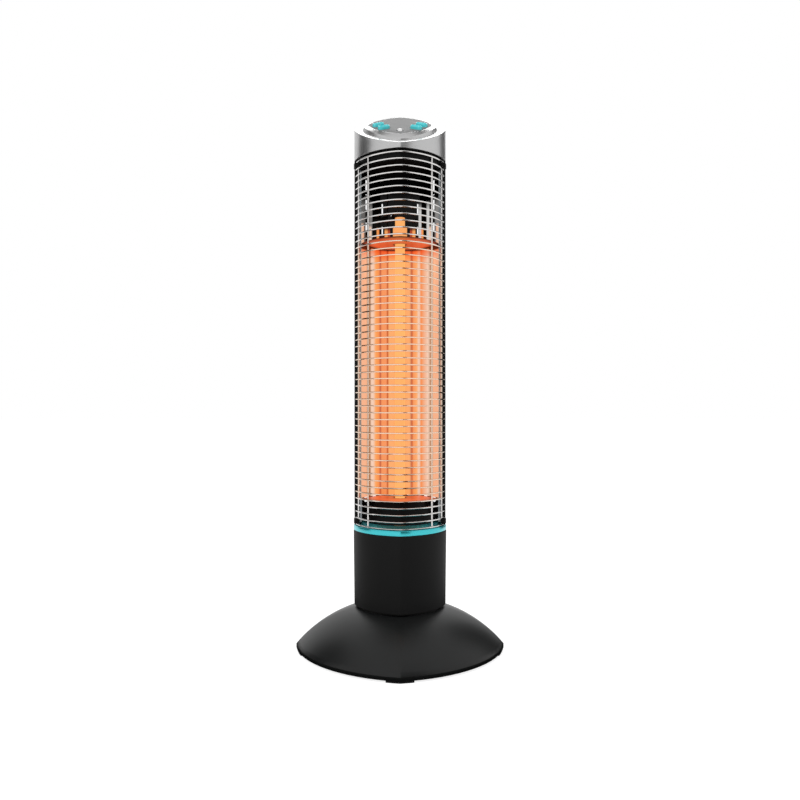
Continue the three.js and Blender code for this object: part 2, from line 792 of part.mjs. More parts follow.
// A bright plate across the trough, cut out for the tube.
function makeShield(z) {
  const inside = offsetLine(reflectorInside, -0.4);
  const frontInset = 10;
  const y0 = inside[0].y;
  const steps = 12;
  const front = Array.from({ length: 2 * steps - 1 }, (_, i) => {
    const t = (i + 1) / steps - 1;
    const edge = planHalfWidth(towerCorner, towerBreak, frontInset, 0);
    const x = t * edge * 0.94;
    return new THREE.Vector2(x, -planHalfWidth(towerCorner, towerBreak, frontInset, x));
  }).filter((p) => p.y < y0 - 2);
  const hole = circle(tubeRadius + tubeClearance, 0, 0, 24);
  return prism([...front, ...inside], z, z + shieldThickness, [hole]);
}

const bracketZ = coverBottom + 0.4;
const bracketThickness = 1.2;
const capFlange = bracketZ + bracketThickness + gap;

function makeTubeBracket() {
  const reach = coverFlange - 4.8;
  const strip = block(-reach, reach, -6, 6, bracketZ, bracketZ + bracketThickness);
  return cut(strip, disc(tubeLeadRadius + 1, bracketZ - 1, bracketZ + 3, 0, 0, 12));
}

const tubeBore = tubeRadius - tubeWall;
const plugRadius = tubeBore - gap;

const makeHeatingTube = () => ringPrism(tubeRadius, tubeBore, tubeBottom, tubeTop, 24);

function makeEndCap(flangeRadius, flangeLow, flangeHigh, plugLow, plugHigh) {
  return join(disc(flangeRadius, flangeLow, flangeHigh), disc(plugRadius, plugLow, plugHigh));
}

const makeEndCapLower = () =>
  makeEndCap(tubeRadius + 1.5, capFlange, tubeBottom - gap, tubeBottom - 1, tubeBottom + capPlugLength);

const upperCapTop = tubeTop + 5;
const makeEndCapUpper = () =>
  makeEndCap(tubeRadius, tubeTop + gap, upperCapTop, tubeTop - capPlugLength, tubeTop + 1);

// A flat ribbon of carbon, stretched between the end caps.
function makeFilament() {
  const [w, t] = [filamentWidth / 2, filamentThickness / 2];
  return block(-w, w, -t, t, tubeBottom + capPlugLength + gap, tubeTop - capPlugLength - gap);
}

const makeTubeCollar = () => {
  const z0 = upperShieldZ + shieldThickness + gap;
  return ringPrism(collarRadius, tubeRadius + gap, z0, z0 + collarHeight, 24);
};

const cutoutZ = 590;

const makeThermalCutout = () => {
  const y = reflectorBack + reflectorThickness + gap;
  const can = rodY(8, y, y + 5, 0, cutoutZ);
  const cap = rodY(4, y + 4, y + 9, 0, cutoutZ, 12);
  return join(can, cap, block(-11, 11, y, y + 1, cutoutZ - 4, cutoutZ + 4));
};

// Wire guard: rings round the two front sides, welded to four uprights inside them.
const guardEndY = postFront - gap - 0.2;

function guardPath(inset, steps = 4) {
  const widest = planHalfWidth(towerCorner, towerBreak, inset, guardEndY);
  const { radius, c } = planArc(towerCorner, towerBreak);
  const r = radius - inset;
  const from = Math.asin((-guardEndY + c) / r);
  const to = Math.acos(c / r);
  const half = Array.from({ length: steps + 1 }, (_, i) => {
    const a = from + ((to - from) * i) / steps;
    return new THREE.Vector2(r * Math.cos(a) - c, -(r * Math.sin(a) - c));
  });
  half[0].set(widest, guardEndY);
  half[steps].x = 0;
  const left = half.slice(0, -1).map((p) => new THREE.Vector2(-p.x, p.y));
  return [...left, ...half.slice().reverse()];
}

function makeGuardRing(z) {
  const w = guardWire / 2;
  const [outer, inner] = [-w, w].map((d) => guardPath(guardInset + d));
  const loops = outer.map((p, i) => [
    new THREE.Vector3(inner[i].x, inner[i].y, z),
    new THREE.Vector3(p.x, p.y, z + w),
    new THREE.Vector3(p.x, p.y, z - w),
  ]);
  return loft(loops);
}

const sideUprightY = -12;
const uprightInset = guardInset + guardWire / 2 + guardUpright / 2 - 0.5;

// Where the uprights stand on the right-hand side, as [x, y].
const frontUpright = [guardUprightX, -planHalfWidth(towerCorner, towerBreak, uprightInset, guardUprightX)];
const sideUpright = [planHalfWidth(towerCorner, towerBreak, uprightInset, sideUprightY), sideUprightY];

function makeFrontGuard() {
  const w = guardUpright / 2;
  const rings = Array.from({ length: guardRings }, (_, i) =>
    solid(makeGuardRing(firstRing + i * guardPitch)),
  );
  const upright = ([x, y], side) => {
    const outline = circle(w * 1.25, 0, 0, 3);
    outline.forEach((p) => {
      p.rotateAround(new THREE.Vector2(), Math.atan2(y, x));
      p.set(side * (p.x + x), p.y + y);
    });
    return solid(prism(side > 0 ? outline : outline.reverse(), firstRing, lastRing));
  };
  const uprights = [frontUpright, sideUpright].flatMap((p) => [upright(p, 1), upright(p, -1)]);
  return wasm.Manifold.union([...rings, ...uprights]);
}

// A moulded block at the corner post, gripping the side upright between two rings.
function makeGuardClip(side, ringBelow) {
  const z0 = ringBelow + guardWire / 2 + gap;
  const z1 = ringBelow + guardPitch - guardWire / 2 - gap;
  const outline = [
    [1.65, postFront - gap],
    [1.35, -9],
    [-0.45, -15.5],
    [-7.35, -15.5],
    [-5.65, -8.5],
    [-4.45, postFront - gap - 1.5],
    [-4.45, postFront - gap],
  ].map(([outwards, y]) => new THREE.Vector2(side * (flangeEdge + outwards), y));
  const grip = 1.2 * guardUpright + 2 * gap;
  const [x, y] = sideUpright;
  const slot = block(side * x - grip / 2, side * x + grip / 2, y - grip / 2, y + grip / 2, z0 - 1, z1 + 1);
  return cut(prism(side > 0 ? outline.reverse() : outline, z0, z1), slot);
}

// The back half of the tower, with a flange down each front edge.
function makeRearHousing() {
  const ring = casing([
    [0, housingBottom],
    [0, headBottom - gap],
    [wall, headBottom - gap],
    [wall, housingBottom],
  ]);
  const back = overlap(ring, block(-100, 100, postFront, 100, housingBottom - 1, headBottom));
  const outerX = planHalfWidth(towerCorner, towerBreak, 0.2, postFront);
  const posts = [-1, 1].map((s) => {
    const inner = s * (outerX - postWidth);
    const outer = s * (outerX - 0.6);
    const x = [Math.min(inner, outer), Math.max(inner, outer)];
    return block(x[0], x[1], postFront, postFront + postDepth, housingBottom, headBottom - gap);
  });
  const vent = (x, low, high) => block(x - ventWidth / 2, x + ventWidth / 2, 20, 80, low, high);
  const vents = mirrored(ventColumns).flatMap((x) => [
    ...[...slotRows, highSlotRow].map(([low, high]) => vent(x, low, high + ventRise)),
    ...lowerVentRows.map(([low, high]) => vent(x, low, high)),
  ]);
  const screwHoles = housingScrewAngles.map((a) => radialRod(screwShank + gap, 50, 80, a, housingScrewZ));
  return cut(join(back, ...posts), ...vents, ...screwHoles);
}

const railX = [flangeEdge - 10.65, flangeEdge - 5.05];
const railBottom = trimTop - 1;
const railTop = upperCoverBottom - gap;

// A zinc-plated strip behind each corner post, with a flange along the reflector's edge.
function makeSideRail(side) {
  const [x0, x1] = railX;
  const outline = [
    [x0, -5.4],
    [x1, -5.4],
    [x1, 8],
    [x1 - 1.2, 8],
    [x1 - 1.2, -4.2],
    [x0, -4.2],
  ].map(([x, y]) => new THREE.Vector2(side * x, y));
  return prism(side > 0 ? outline : outline.reverse(), railBottom, railTop);
}

const collarBottom = upperCoverTop + gap;
const collarTop = headBottom + 4;
const collarInset = 5.7; // clears the guard's uprights

const makeUpperCollar = () =>
  casing([
    [collarInset, collarBottom],
    [collarInset, headBottom + gap],
    [headWall + gap, headBottom + gap],
    [headWall + gap, collarTop],
    [collarInset + 2.5, collarTop],
    [collarInset + 2.5, collarBottom],
  ]);

// A lid across the top of the trough, with a low rib under its edge.
function makeUpperCover() {
  const ribInset = collarInset + 1.5;
  const ribWidth = 2;
  const ribDepth = 1.2;
  const section = [
    [ribInset + ribWidth, upperCoverBottom],
    [ribInset + ribWidth, upperCoverBottom - ribDepth],
    [ribInset, upperCoverBottom - ribDepth],
    [ribInset, upperCoverBottom],
    [collarInset, upperCoverBottom],
    [collarInset, upperCoverTop],
  ];
  const lid = loft(section.map(([inset, z]) => level(towerPlan(inset), z)));
  const leadHole = disc(leadRadius + 1.5, upperCoverBottom - 1, upperCoverTop + 1, leadX, leadY, 12);
  const railNotches = [-1, 1].map((side) => {
    const [x0, x1] = [side * (railX[0] - 1), side * (railX[1] + 1)].sort((a, b) => a - b);
    return block(x0, x1, -9, 9, upperCoverBottom - 2 * ribDepth, upperCoverBottom);
  });
  return cut(lid, leadHole, ...railNotches);
}

// ---------------------------------------------------------------- head

const slant = (rise) => (p) => headMiddle + Math.tan(headSlope) * p.y + rise;
const panelInset = rimWidth + grooveWidth + bevelWidth;
const lip = 0.8;
const panelRecess = panelThickness / Math.cos(headSlope) + gap;

function makeHeadShell() {
  const grooveInner = rimWidth + grooveWidth;
  return casing([
    [0, headBottom],
    [0, slant(-1)],
    [1, slant(0)],
    [rimWidth - 0.3, slant(-0.4)],
    [rimWidth, slant(-grooveDepth)],
    [grooveInner - 0.4, slant(-grooveDepth)],
    [grooveInner, slant(0.3)],
    [panelInset, slant(bevelRise)],
    [panelInset + lip, slant(bevelRise)],
    [panelInset + lip, slant(bevelRise - panelRecess)],
    [panelInset + panelLedge, slant(bevelRise - panelRecess)],
    [panelInset + panelLedge, slant(bevelRise - panelRecess - 2)],
    [grooveInner + 2.4, slant(bevelRise - panelRecess - 2)],
    [grooveInner + 1.4, slant(-grooveDepth - 2.4)],
    [rimWidth - 2.5, slant(-grooveDepth - 2.4)],
    [rimWidth - 3.5, slant(-3)],
    [headWall, slant(-3)],
    [headWall, headBottom],
  ]);
}

// The panel's own frame: origin on its face over the middle of the plan, Z out of the face.
const panelFrame = new THREE.Group();
panelFrame.position.set(0, 0, headMiddle + bevelRise);
panelFrame.rotation.x = headSlope;
panelFrame.updateMatrixWorld();

const buttonPlaces = [
  ["button_power", [-33, -7.5], 1],
  ["button_heat", [-24.5, -25], 1],
  ["button_swing", [33, -7.5], -1],
  ["button_timer", [24.5, -25], -1],
];
const lensPlace = [0, -37];
const pillarPlaces = [
  [0, 40],
  [0, -20],
  [-30, 8],
  [30, 8],
];

const inPanelFrame = (geometry) => geometry.clone().applyMatrix4(panelFrame.matrixWorld);

function placedPill(length, width, [x, y], side, z0, z1) {
  return prism(pill(length, width), z0, z1).rotateZ(side * buttonTurn).translate(x, y, 0);
}

function makeControlPanel() {
  const outline = plan(towerCorner, towerBreak, panelInset + lip + gap);
  const drop = panelThickness / Math.cos(headSlope);
  const plate = loft([level(outline, slant(bevelRise - drop)), level(outline, slant(bevelRise))]);
  const pillars = pillarPlaces.map(([x, y]) =>
    inPanelFrame(disc(pillarRadius, -boardDepth + gap, -panelThickness / 2, x, y, 12)),
  );
  const holes = buttonPlaces.map(([, place, side]) =>
    inPanelFrame(placedPill(buttonLength + 2 * gap, buttonWidth + 2 * gap, place, side, -10, 5)),
  );
  const lensHole = inPanelFrame(disc(lensRadius + gap, -5, 5, ...lensPlace, 20));
  return cut(join(plate, ...pillars), ...holes, lensHole);
}

// Built round its own middle, long along X: the cap, a flange that holds it in, and the stem to its switch.
function makeButton() {
  const flange = 0.8;
  const top = loft([
    [0, 0, -panelThickness - gap - 0.6],
    [0, 0, buttonHeight - 1],
    [-0.6, -0.6, buttonHeight - 0.3],
    [-1.6, -1.6, buttonHeight],
  ].map(([l, w, z]) => level(pill(buttonLength + 2 * l, buttonWidth + 2 * w), z)));
  const skirt = prism(
    pill(buttonLength + 2 * flange, buttonWidth + 2 * flange),
    -panelThickness - gap - 1.2,
    -panelThickness - gap,
  );
  const stem = disc(2.5, -boardDepth + 4.3, -panelThickness - gap - 1, 0, 0, 12);
  return join(top, skirt, stem);
}

function makeLens() {
  const face = new THREE.SphereGeometry(6.5, 16, 8).translate(0, 0, -4.6);
  const body = overlap(face, disc(lensRadius, -3, 5, 0, 0, 16));
  const collar = disc(lensRadius + 1.2, -panelThickness - gap - 1, -panelThickness - gap, 0, 0, 20);
  return join(body, collar, disc(2, -boardDepth + gap, -3, 0, 0, 12));
}

const switchHeight = 3;
const boardPlug = [11, 26];
const plugHeight = 6;

// In the panel's frame, below the panel: the board with its four switches and its plug.
function makeControlBoard() {
  const outline = plan(boardCorner, towerBreak).map((p) => new THREE.Vector2(p.x, p.y * 1.1));
  const z = -boardDepth;
  const board = prism(outline, z - boardThickness, z);
  const switches = buttonPlaces.map(([, [x, y]]) => {
    return join(
      block(x - 3, x + 3, y - 3, y + 3, z - 0.2, z + switchHeight - 1.2),
      disc(1.6, z, z + switchHeight, x, y, 10),
    );
  });
  const [px, py] = boardPlug;
  const under = z - boardThickness;
  const plug = block(px - 7, px + 7, py - 4, py + 4, under - plugHeight, under + 0.2);
  return join(board, ...switches, plug);
}

// ---------------------------------------------------------------- leads inside the tower

const plugTop = deckTop + 79;
const plugY = boardY + boardThickness + 3;
const panelPoint = (x, y, z) => new THREE.Vector3(x, y, z).applyMatrix4(panelFrame.matrixWorld).toArray();

const makePanelHarness = () =>
  lead([
    [leadX, plugY, plugTop + gap],
    [leadX, plugY, plugTop + 6],
    [leadX, 8, plugTop + 20],
    [leadX, 32, plugTop + 34],
    [leadX, 38, plugTop + 50],
    [leadX, 42, 220],
    [leadX, leadY, 240],
    [leadX, leadY, 330],
    [leadX, leadY, 480],
    [leadX, leadY, 630],
    [leadX, leadY, upperCoverTop - 35],
    [leadX, leadY, upperCoverTop + 10],
    [leadX - 2, leadY - 2, upperCoverTop + 29],
    panelPoint(boardPlug[0], boardPlug[1], -boardDepth - boardThickness - plugHeight - 10),
    panelPoint(boardPlug[0], boardPlug[1], -boardDepth - boardThickness - plugHeight - gap),
  ], leadRadius, 28);

const makeTubeLeadLower = () =>
  lead([
    [-16.5, plugY, plugTop + gap],
    [-16.5, plugY, plugTop + 8],
    [-9, -5, plugTop + 22],
    [-1, 0, plugTop + 34],
    [0, 0, capFlange - gap],
  ], tubeLeadRadius, 14);

const makeTubeLeadUpper = () =>
  lead([
    [-21.6, plugY, plugTop + gap],
    [-21.6, plugY, plugTop + 6],
    [-leadX - 1, 8, plugTop + 20],
    [-leadX, 32, plugTop + 34],
    [-leadX, 38, plugTop + 50],
    [-leadX, 42, 220],
    [-leadX, leadY, 240],
    [-leadX, leadY, 330],
    [-leadX, leadY, 480],
    [-leadX, leadY, 620],
    [upperLeadX - 4, 51, 650],
    [upperLeadX, 50, upperLeadZ - 5],
    [upperLeadX, 43, upperLeadZ],
    [upperLeadX, 35, upperLeadZ],
    [-8, 18, upperLeadZ + 1],
    [-2, 5, upperLeadZ],
    [0, 0, upperLeadZ - 4],
    [0, 0, upperCapTop + gap],
  ], tubeLeadRadius, 34);

// ---------------------------------------------------------------- assembly

function makeBase() {
  const base = new THREE.Group();
  base.add(
    piece("base_shell", makeBaseShell(), blackPlastic),
    piece("base_plate", makeBasePlate(), zincSteel),
    piece("ballast_plate", makeBallast(), castIron),
    piece("cord_gland", makeGland(), blackPlastic),
    piece("terminal_block", makeTerminalBlock(), naturalPlastic),
    piece("swivel_gear", makeSwivelGear(), naturalPlastic),
    piece("swivel_washer", makeSwivelWasher(), naturalPlastic),
    piece("supply_lead", makeSupplyLead(), cableSheath),
  );
  for (const [name, halfLength, turn] of feet) {
    const foot = piece(name, makeFoot(halfLength), rubber);
    foot.rotation.z = turn;
    base.add(foot);
  }
  screwAngles.forEach((a, i) => {
    const screw = piece(`base_screw_${i + 1}`, makeScrew(17), zincSteel);
    screw.position.set(screwCircle * Math.cos(a), screwCircle * Math.sin(a), basePlateZ - gap);
    base.add(screw);
  });
  const tipSwitch = new THREE.Group();
  const outwards = new THREE.Vector3(tipSwitchCircle, 0, 0);
  tipSwitch.rotation.z = tipSwitchAngle;
  tipSwitch.position.copy(outwards.applyEuler(tipSwitch.rotation));
  tipSwitch.add(
    piece("tip_switch", makeTipSwitch(), blackPlastic),
    piece("tip_plunger", makePlunger(), naturalPlastic),
  );
  base.add(tipSwitch);
  return base;
}

function makeColumnFoot() {
  const foot = new THREE.Group();
  const pinion = piece("drive_pinion", makePinion(), naturalPlastic);
  pinion.position.set(0, gearCentres, 0);
  foot.add(
    piece("turntable", makeTurntable(), blackPlastic),
    piece("swivel_retainer", makeRetainer(), zincSteel),
    piece("column_shell", makeColumnShell(), blackPlastic),
    piece("oscillation_motor", makeMotor(), zincSteel),
    pinion,
    piece("power_board", makePowerBoard(), circuitBoard),
    piece("trim_ring", makeTrimRing(), tealPaint),
  );
  return foot;
}

function makeTower() {
  const tower = new THREE.Group();
  tower.add(
    piece("lower_inner_cover", makeLowerCover(), blackPlastic),
    piece("tube_bracket", makeTubeBracket(), zincSteel),
    piece("rear_housing", makeRearHousing(), blackPlastic),
    piece("side_rail_left", makeSideRail(-1), zincSteel),
    piece("side_rail_right", makeSideRail(1), zincSteel),
    piece("upper_collar", makeUpperCollar(), blackPlastic),
    piece("upper_inner_cover", makeUpperCover(), blackPlastic),
    piece("front_guard", makeFrontGuard(), chromeWire),
    piece("reflector", makeReflector(), brightAluminium),
    piece("lower_shield", makeShield(lowerShieldZ), brightAluminium),
    piece("upper_shield", makeShield(upperShieldZ), brightAluminium),
    piece("heating_tube", makeHeatingTube(), quartz),
    piece("carbon_filament", makeFilament(), carbon),
    piece("end_cap_lower", makeEndCapLower(), ceramic),
    piece("end_cap_upper", makeEndCapUpper(), ceramic),
    piece("tube_collar", makeTubeCollar(), ceramic),
    piece("thermal_cutout", makeThermalCutout(), zincSteel),
    piece("panel_harness", makePanelHarness(), cableSheath),
    piece("tube_lead_lower", makeTubeLeadLower(), cableSheath),
    piece("tube_lead_upper", makeTubeLeadUpper(), cableSheath),
  );
  for (const [end, ring] of [["lower", firstRing], ["upper", lastRing - guardPitch]]) {
    tower.add(piece(`guard_clip_${end}_left`, makeGuardClip(-1, ring), blackPlastic));
    tower.add(piece(`guard_clip_${end}_right`, makeGuardClip(1, ring), blackPlastic));
  }
  housingScrewAngles.forEach((a, i) => {
    const screw = piece(`housing_screw_${i ? "left" : "right"}`, makeScrew(9), zincSteel);
    const seat = housingSideRadius + gap;
    screw.position.set(seat, 0, housingScrewZ);
    screw.rotation.y = -Math.PI / 2;
    const holder = new THREE.Group();
    holder.rotation.z = a;
    holder.add(screw);
    tower.add(holder);
  });
  return tower;
}

function makeHead() {
  const head = new THREE.Group();
  const lens = piece("receiver_lens", makeLens(), clearLens);
  lens.position.set(...lensPlace, 0);
  panelFrame.add(piece("control_board", makeControlBoard(), circuitBoard), lens);
  for (const [name, [x, y], side] of buttonPlaces) {
    const button = piece(name, makeButton(), tealPlastic);
    button.position.set(x, y, 0);
    button.rotation.z = side * buttonTurn;
    panelFrame.add(button);
  }
  head.add(
    piece("head_shell", makeHeadShell(), silverPaint),
    piece("control_panel", makeControlPanel(), panelGrey),
    panelFrame,
  );
  return head;
}

const heater = new THREE.Group();
heater.add(makeBase(), makeColumnFoot(), makeTower(), makeHead());

export default heater;
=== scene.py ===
# %% [markdown]
# # An infrared patio heater tower
# A carbon tube glows in a folded bright trough behind a chrome wire guard. The tower stands on a
# wide domed base and turns on it, and a slanted silver head carries four buttons.
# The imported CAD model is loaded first. It fixes where everything is, so each piece made here goes
# where the CAD piece is, in metres, and rides on the body that the CAD piece rides on.

# %% Load the frame
import math

import bmesh
import bpy
from mathutils import Matrix, Vector


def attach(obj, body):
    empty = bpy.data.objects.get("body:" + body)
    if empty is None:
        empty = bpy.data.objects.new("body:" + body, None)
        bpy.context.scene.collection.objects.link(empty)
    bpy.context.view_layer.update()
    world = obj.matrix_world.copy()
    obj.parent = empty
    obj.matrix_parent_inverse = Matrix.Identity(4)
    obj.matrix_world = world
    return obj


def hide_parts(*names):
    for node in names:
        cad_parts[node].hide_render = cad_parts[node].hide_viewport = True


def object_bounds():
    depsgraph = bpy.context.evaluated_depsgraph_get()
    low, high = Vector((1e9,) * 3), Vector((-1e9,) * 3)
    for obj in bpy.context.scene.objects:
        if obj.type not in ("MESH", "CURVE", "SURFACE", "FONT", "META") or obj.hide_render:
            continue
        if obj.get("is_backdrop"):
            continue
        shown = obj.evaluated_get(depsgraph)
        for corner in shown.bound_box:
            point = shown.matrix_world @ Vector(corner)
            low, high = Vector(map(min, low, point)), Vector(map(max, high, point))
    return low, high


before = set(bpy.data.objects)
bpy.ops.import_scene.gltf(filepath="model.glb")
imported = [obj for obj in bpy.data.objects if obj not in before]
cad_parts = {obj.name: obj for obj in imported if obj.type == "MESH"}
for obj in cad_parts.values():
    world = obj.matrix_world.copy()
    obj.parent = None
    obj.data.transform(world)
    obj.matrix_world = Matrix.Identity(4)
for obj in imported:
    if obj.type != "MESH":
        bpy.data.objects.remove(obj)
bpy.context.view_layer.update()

# %% [markdown]
# ## Camera
# The photograph was taken with a level camera about 1.26 m in front of the heater, at the height of
# the middle of its guard: the rings bow upwards above that height and downwards below it.
# A level camera keeps the tower's edges upright, and a small shift sets the picture's middle.

# %% Camera
camera = bpy.data.objects.new("camera", bpy.data.cameras.new("camera"))
camera.location = (0, -1.258, 0.3743)
camera.rotation_euler = (math.radians(90), 0, 0)
camera.data.lens = 36.9
camera.data.sensor_width = 36
camera.data.shift_y = 0.00625
scene = bpy.context.scene
scene.collection.objects.link(camera)
scene.camera = camera
print("camera height in mm:", round(camera.location.z * 1000, 1))

# %% [markdown]
# ## The plan
# Every casing of the heater has the same outline from above: a square standing on its corner, whose
# four sides bow outwards. It could be drawn as a curve and extruded, but a function that gives the
# outline for any size and wall thickness lets each piece be skinned from loops of the same points.
# The corners are not sharp on a moulding, so a small nose replaces each one. A point close beside
# each nose keeps its crease crisp: without it the shading would smear the corner into the side.

# %% Outline of a casing
MM = 0.001
TOWER, TOWER_BREAK = 70.0, 12.0  # centre to corner, and how far a side turns in from square there
COLUMN_TOP = 71.2
BASE, BASE_BREAK = 159.0, 10.0


def side_arc(corner, break_degrees):
    """Radius of a bowed side, and how far its centre lies behind the axis along both plan axes."""
    half = math.radians(45 - break_degrees)
    radius = corner / math.sqrt(2) / math.sin(half)
    return radius, (radius * math.cos(half) - corner / math.sqrt(2)) / math.sqrt(2)


def plan(corner=TOWER, break_degrees=TOWER_BREAK, inset=0.0, steps=16, nose=1.6):
    """Outline in mm, anticlockwise from the +X corner. nose is where a corner's rounding starts."""
    radius, centre = side_arc(corner, break_degrees)
    r = radius - inset
    start = math.asin(centre / r)
    first = start + nose / r
    sweep = math.pi / 2 - 2 * first
    hold = 0.5 / r  # the point beside the nose is 0.5 mm from it
    arc = [first, first + hold]
    arc += [first + sweep * i / steps for i in range(1, steps)]
    arc += [first + sweep - hold, first + sweep]
    side = [Vector((r * math.cos(a) - centre, r * math.sin(a) - centre)) for a in arc]
    tip = Vector((r * math.cos(start) - centre, 0))
    before, after = Vector((side[0].x, -side[0].y)), side[0]
    rounding = [
        before * (1 - t) ** 2 + tip * 2 * t * (1 - t) + after * t * t
        for t in (0, 0.25, 0.5, 0.75, 1)
    ]
    outline = []
    for quarter in range(4):
        turn = Matrix.Rotation(quarter * math.pi / 2, 2)
        outline += [turn @ p for p in rounding + side[1:-1]]
    return outline


def half_width(inset, y, corner=TOWER, break_degrees=TOWER_BREAK):
    """How far a bowed side stands from the middle at a distance along Y."""
    radius, centre = side_arc(corner, break_degrees)
    return math.sqrt((radius - inset) ** 2 - (abs(y) + centre) ** 2) - centre


print("points round the plan:", len(plan()))

# %% [markdown]
# ## Skinning helpers
# A moulding is easiest to describe by loops of points, one above another, joined by faces: what
# Blender calls bridging edge loops. Real edges are never sharp, so a drawn section first gets its
# corners eased, and shading stays smooth except where a fold is meant to show.


# %% Loops, skins and eased corners
def level(outline, height):
    """An outline lifted to a height, which is a number or a rule of the point."""
    z = height if callable(height) else lambda p: height
    return [Vector((p[0], p[1], z(p))) for p in outline]


def ease(points, radius, steps=3, closed=True):
    """Rounds the corners of a drawn line of 2D points."""
    points = [Vector(p) for p in points]
    eased = []
    for i, p in enumerate(points):
        if not closed and i in (0, len(points) - 1):
            eased.append(p)
            continue
        before, after = points[i - 1] - p, points[(i + 1) % len(points)] - p
        reach = min(radius, 0.45 * before.length, 0.45 * after.length)
        a, b = p + before.normalized() * reach, p + after.normalized() * reach
        for k in range(steps + 1):
            t = k / steps
            eased.append(a * (1 - t) ** 2 + p * 2 * t * (1 - t) + b * t * t)
    return eased


def skin(name, loops, closed=False, sharp=35.0):
    """Joins loops of as many points, in mm, into a mesh. An open skin gets a cap at both ends."""
    return skins(name, [loops], closed, sharp)


def skins(name, bodies, closed=False, sharp=35.0):
    """One mesh of several skins."""
    vertices, faces = [], []
    for loops in bodies:
        base, n = len(vertices), len(loops[0])
        vertices += [Vector(p) * MM for loop in loops for p in loop]
        for k in range(len(loops) if closed else len(loops) - 1):
            low, high = base + k * n, base + (k + 1) % len(loops) * n
            for i in range(n):
                j = (i + 1) % n
                faces.append((low + i, low + j, high + j, high + i))
        if not closed:
            last = base + (len(loops) - 1) * n
            faces += [tuple(range(base, base + n))[::-1], tuple(range(last, last + n))]
    mesh = bpy.data.meshes.new(name)
    mesh.from_pydata(vertices, [], faces)
    edit = bmesh.new()
    edit.from_mesh(mesh)
    bmesh.ops.remove_doubles(edit, verts=edit.verts, dist=1e-7)
    bmesh.ops.recalc_face_normals(edit, faces=edit.faces)
    edit.to_mesh(mesh)
    edit.free()
    made = bpy.data.objects.new(name, mesh)
    scene.collection.objects.link(made)
    return smooth(made, sharp)


def smooth(piece, sharp=35.0):
    """Smooth shading that keeps a fold where two faces meet at more than the sharp angle."""
    piece.data.polygons.foreach_set("use_smooth", [True] * len(piece.data.polygons))
    piece.data.set_sharp_from_angle(angle=math.radians(sharp))
    return piece


def casing(name, section, corner=TOWER, break_degrees=TOWER_BREAK, sharp=35.0):
    """A wall carried round the plan from a closed section of (inset, height) pairs."""
    loops = [level(plan(corner, break_degrees, inset), z) for inset, z in section]
    return skin(name, loops, True, sharp)


def circle(radius, sides=48, x=0.0, y=0.0):
    """Points of a circle, anticlockwise."""
    turns = [2 * math.pi * i / sides for i in range(sides)]
    return [(x + radius * math.cos(a), y + radius * math.sin(a)) for a in turns]


def lathe(name, profile, sides=48, closed=False, sharp=35.0):
    """A turned piece from a profile of (radius, height) pairs."""
    return skin(name, [level(circle(r, sides), z) for r, z in profile], closed, sharp)


# %% [markdown]
# ## Modifiers in code
# Two modifiers do the work that loops can't: Boolean cuts holes, and Bevel breaks the edges of what
# was cut. Both are applied at once, so that what follows sees the finished mesh.


# %% Apply, cut and break edges
def apply(piece):
    """Turns what a piece's modifiers make into its own mesh."""
    graph = bpy.context.evaluated_depsgraph_get()
    mesh = bpy.data.meshes.new_from_object(piece.evaluated_get(graph))
    piece.modifiers.clear()
    piece.data = mesh
    return piece


def cut(piece, cutter, sharp=35.0):
    """Takes one mesh out of another and removes the cutter."""
    modifier = piece.modifiers.new("cut", "BOOLEAN")
    modifier.object = cutter
    modifier.solver = "EXACT"
    apply(piece)
    bpy.data.objects.remove(cutter)
    return smooth(piece, sharp)


def break_edges(piece, width, segments=2, angle=35.0):
    """Rounds the edges sharper than an angle by a width in mm."""
    modifier = piece.modifiers.new("edges", "BEVEL")
    modifier.width = width * MM
    modifier.segments = segments
    modifier.limit_method = "ANGLE"
    modifier.angle_limit = math.radians(angle)
    modifier.harden_normals = False
    return smooth(apply(piece), 50.0)


def dress(piece, material, body, slot, *nodes):
    """Gives a piece its material, makes it ride, and hides the nodes it stands for. slot is not
    used.
    """
    piece.data.materials.clear()
    piece.data.materials.append(material)
    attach(piece, body)
    if nodes:
        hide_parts(*nodes)
    return piece


# %% [markdown]
# ## Colour and node helpers
# Colours are written as sRGB hex values, as a paint chart gives them, and turned into the linear
# numbers that shaders work with.


# %% One function for colour, one for nodes
def colour(hex_value):
    """The linear RGBA of an sRGB hex value."""
    parts = [int(hex_value[i : i + 2], 16) / 255 for i in (1, 3, 5)]
    linear = [v / 12.92 if v <= 0.04045 else ((v + 0.055) / 1.055) ** 2.4 for v in parts]
    return (*linear, 1.0)


def add(tree, kind, settings=None, links=None, **fields):
    """Adds a node: fields are its own options, settings its inputs, and links what feeds them."""
    node = tree.nodes.new("ShaderNode" + kind)
    for name, value in fields.items():
        setattr(node, name, value)
    for name, value in (settings or {}).items():
        node.inputs[name].default_value = value
    for name, source in (links or {}).items():
        tree.links.new(source, node.inputs[name])
    return node


def begin(name):
    """An empty material, its node tree, and the place coordinate, which is that of the CAD."""
    material = bpy.data.materials.new(name)
    material.use_nodes = True
    tree = material.node_tree
    tree.nodes.clear()
    return material, tree, add(tree, "TexCoord").outputs["Object"]


def end(tree, shader):
    """Makes a shader the surface of its material."""
    add(tree, "OutputMaterial", links={"Surface": shader.outputs[0]})


# %% [markdown]
# ## Moulded plastics
# Most of the heater is injection moulded: ABS for the casings, acetal for the gears, and rubber for
# the feet. The tool that moulds a casing is spark eroded, and that leaves a fine leathery grain of
# about 0.2 mm on the plastic, which breaks up its highlights. That is too fine to show at this
# distance, so the noise here is drawn at the size given for each one, in mm.
# One loop makes them all, because only the numbers differ.

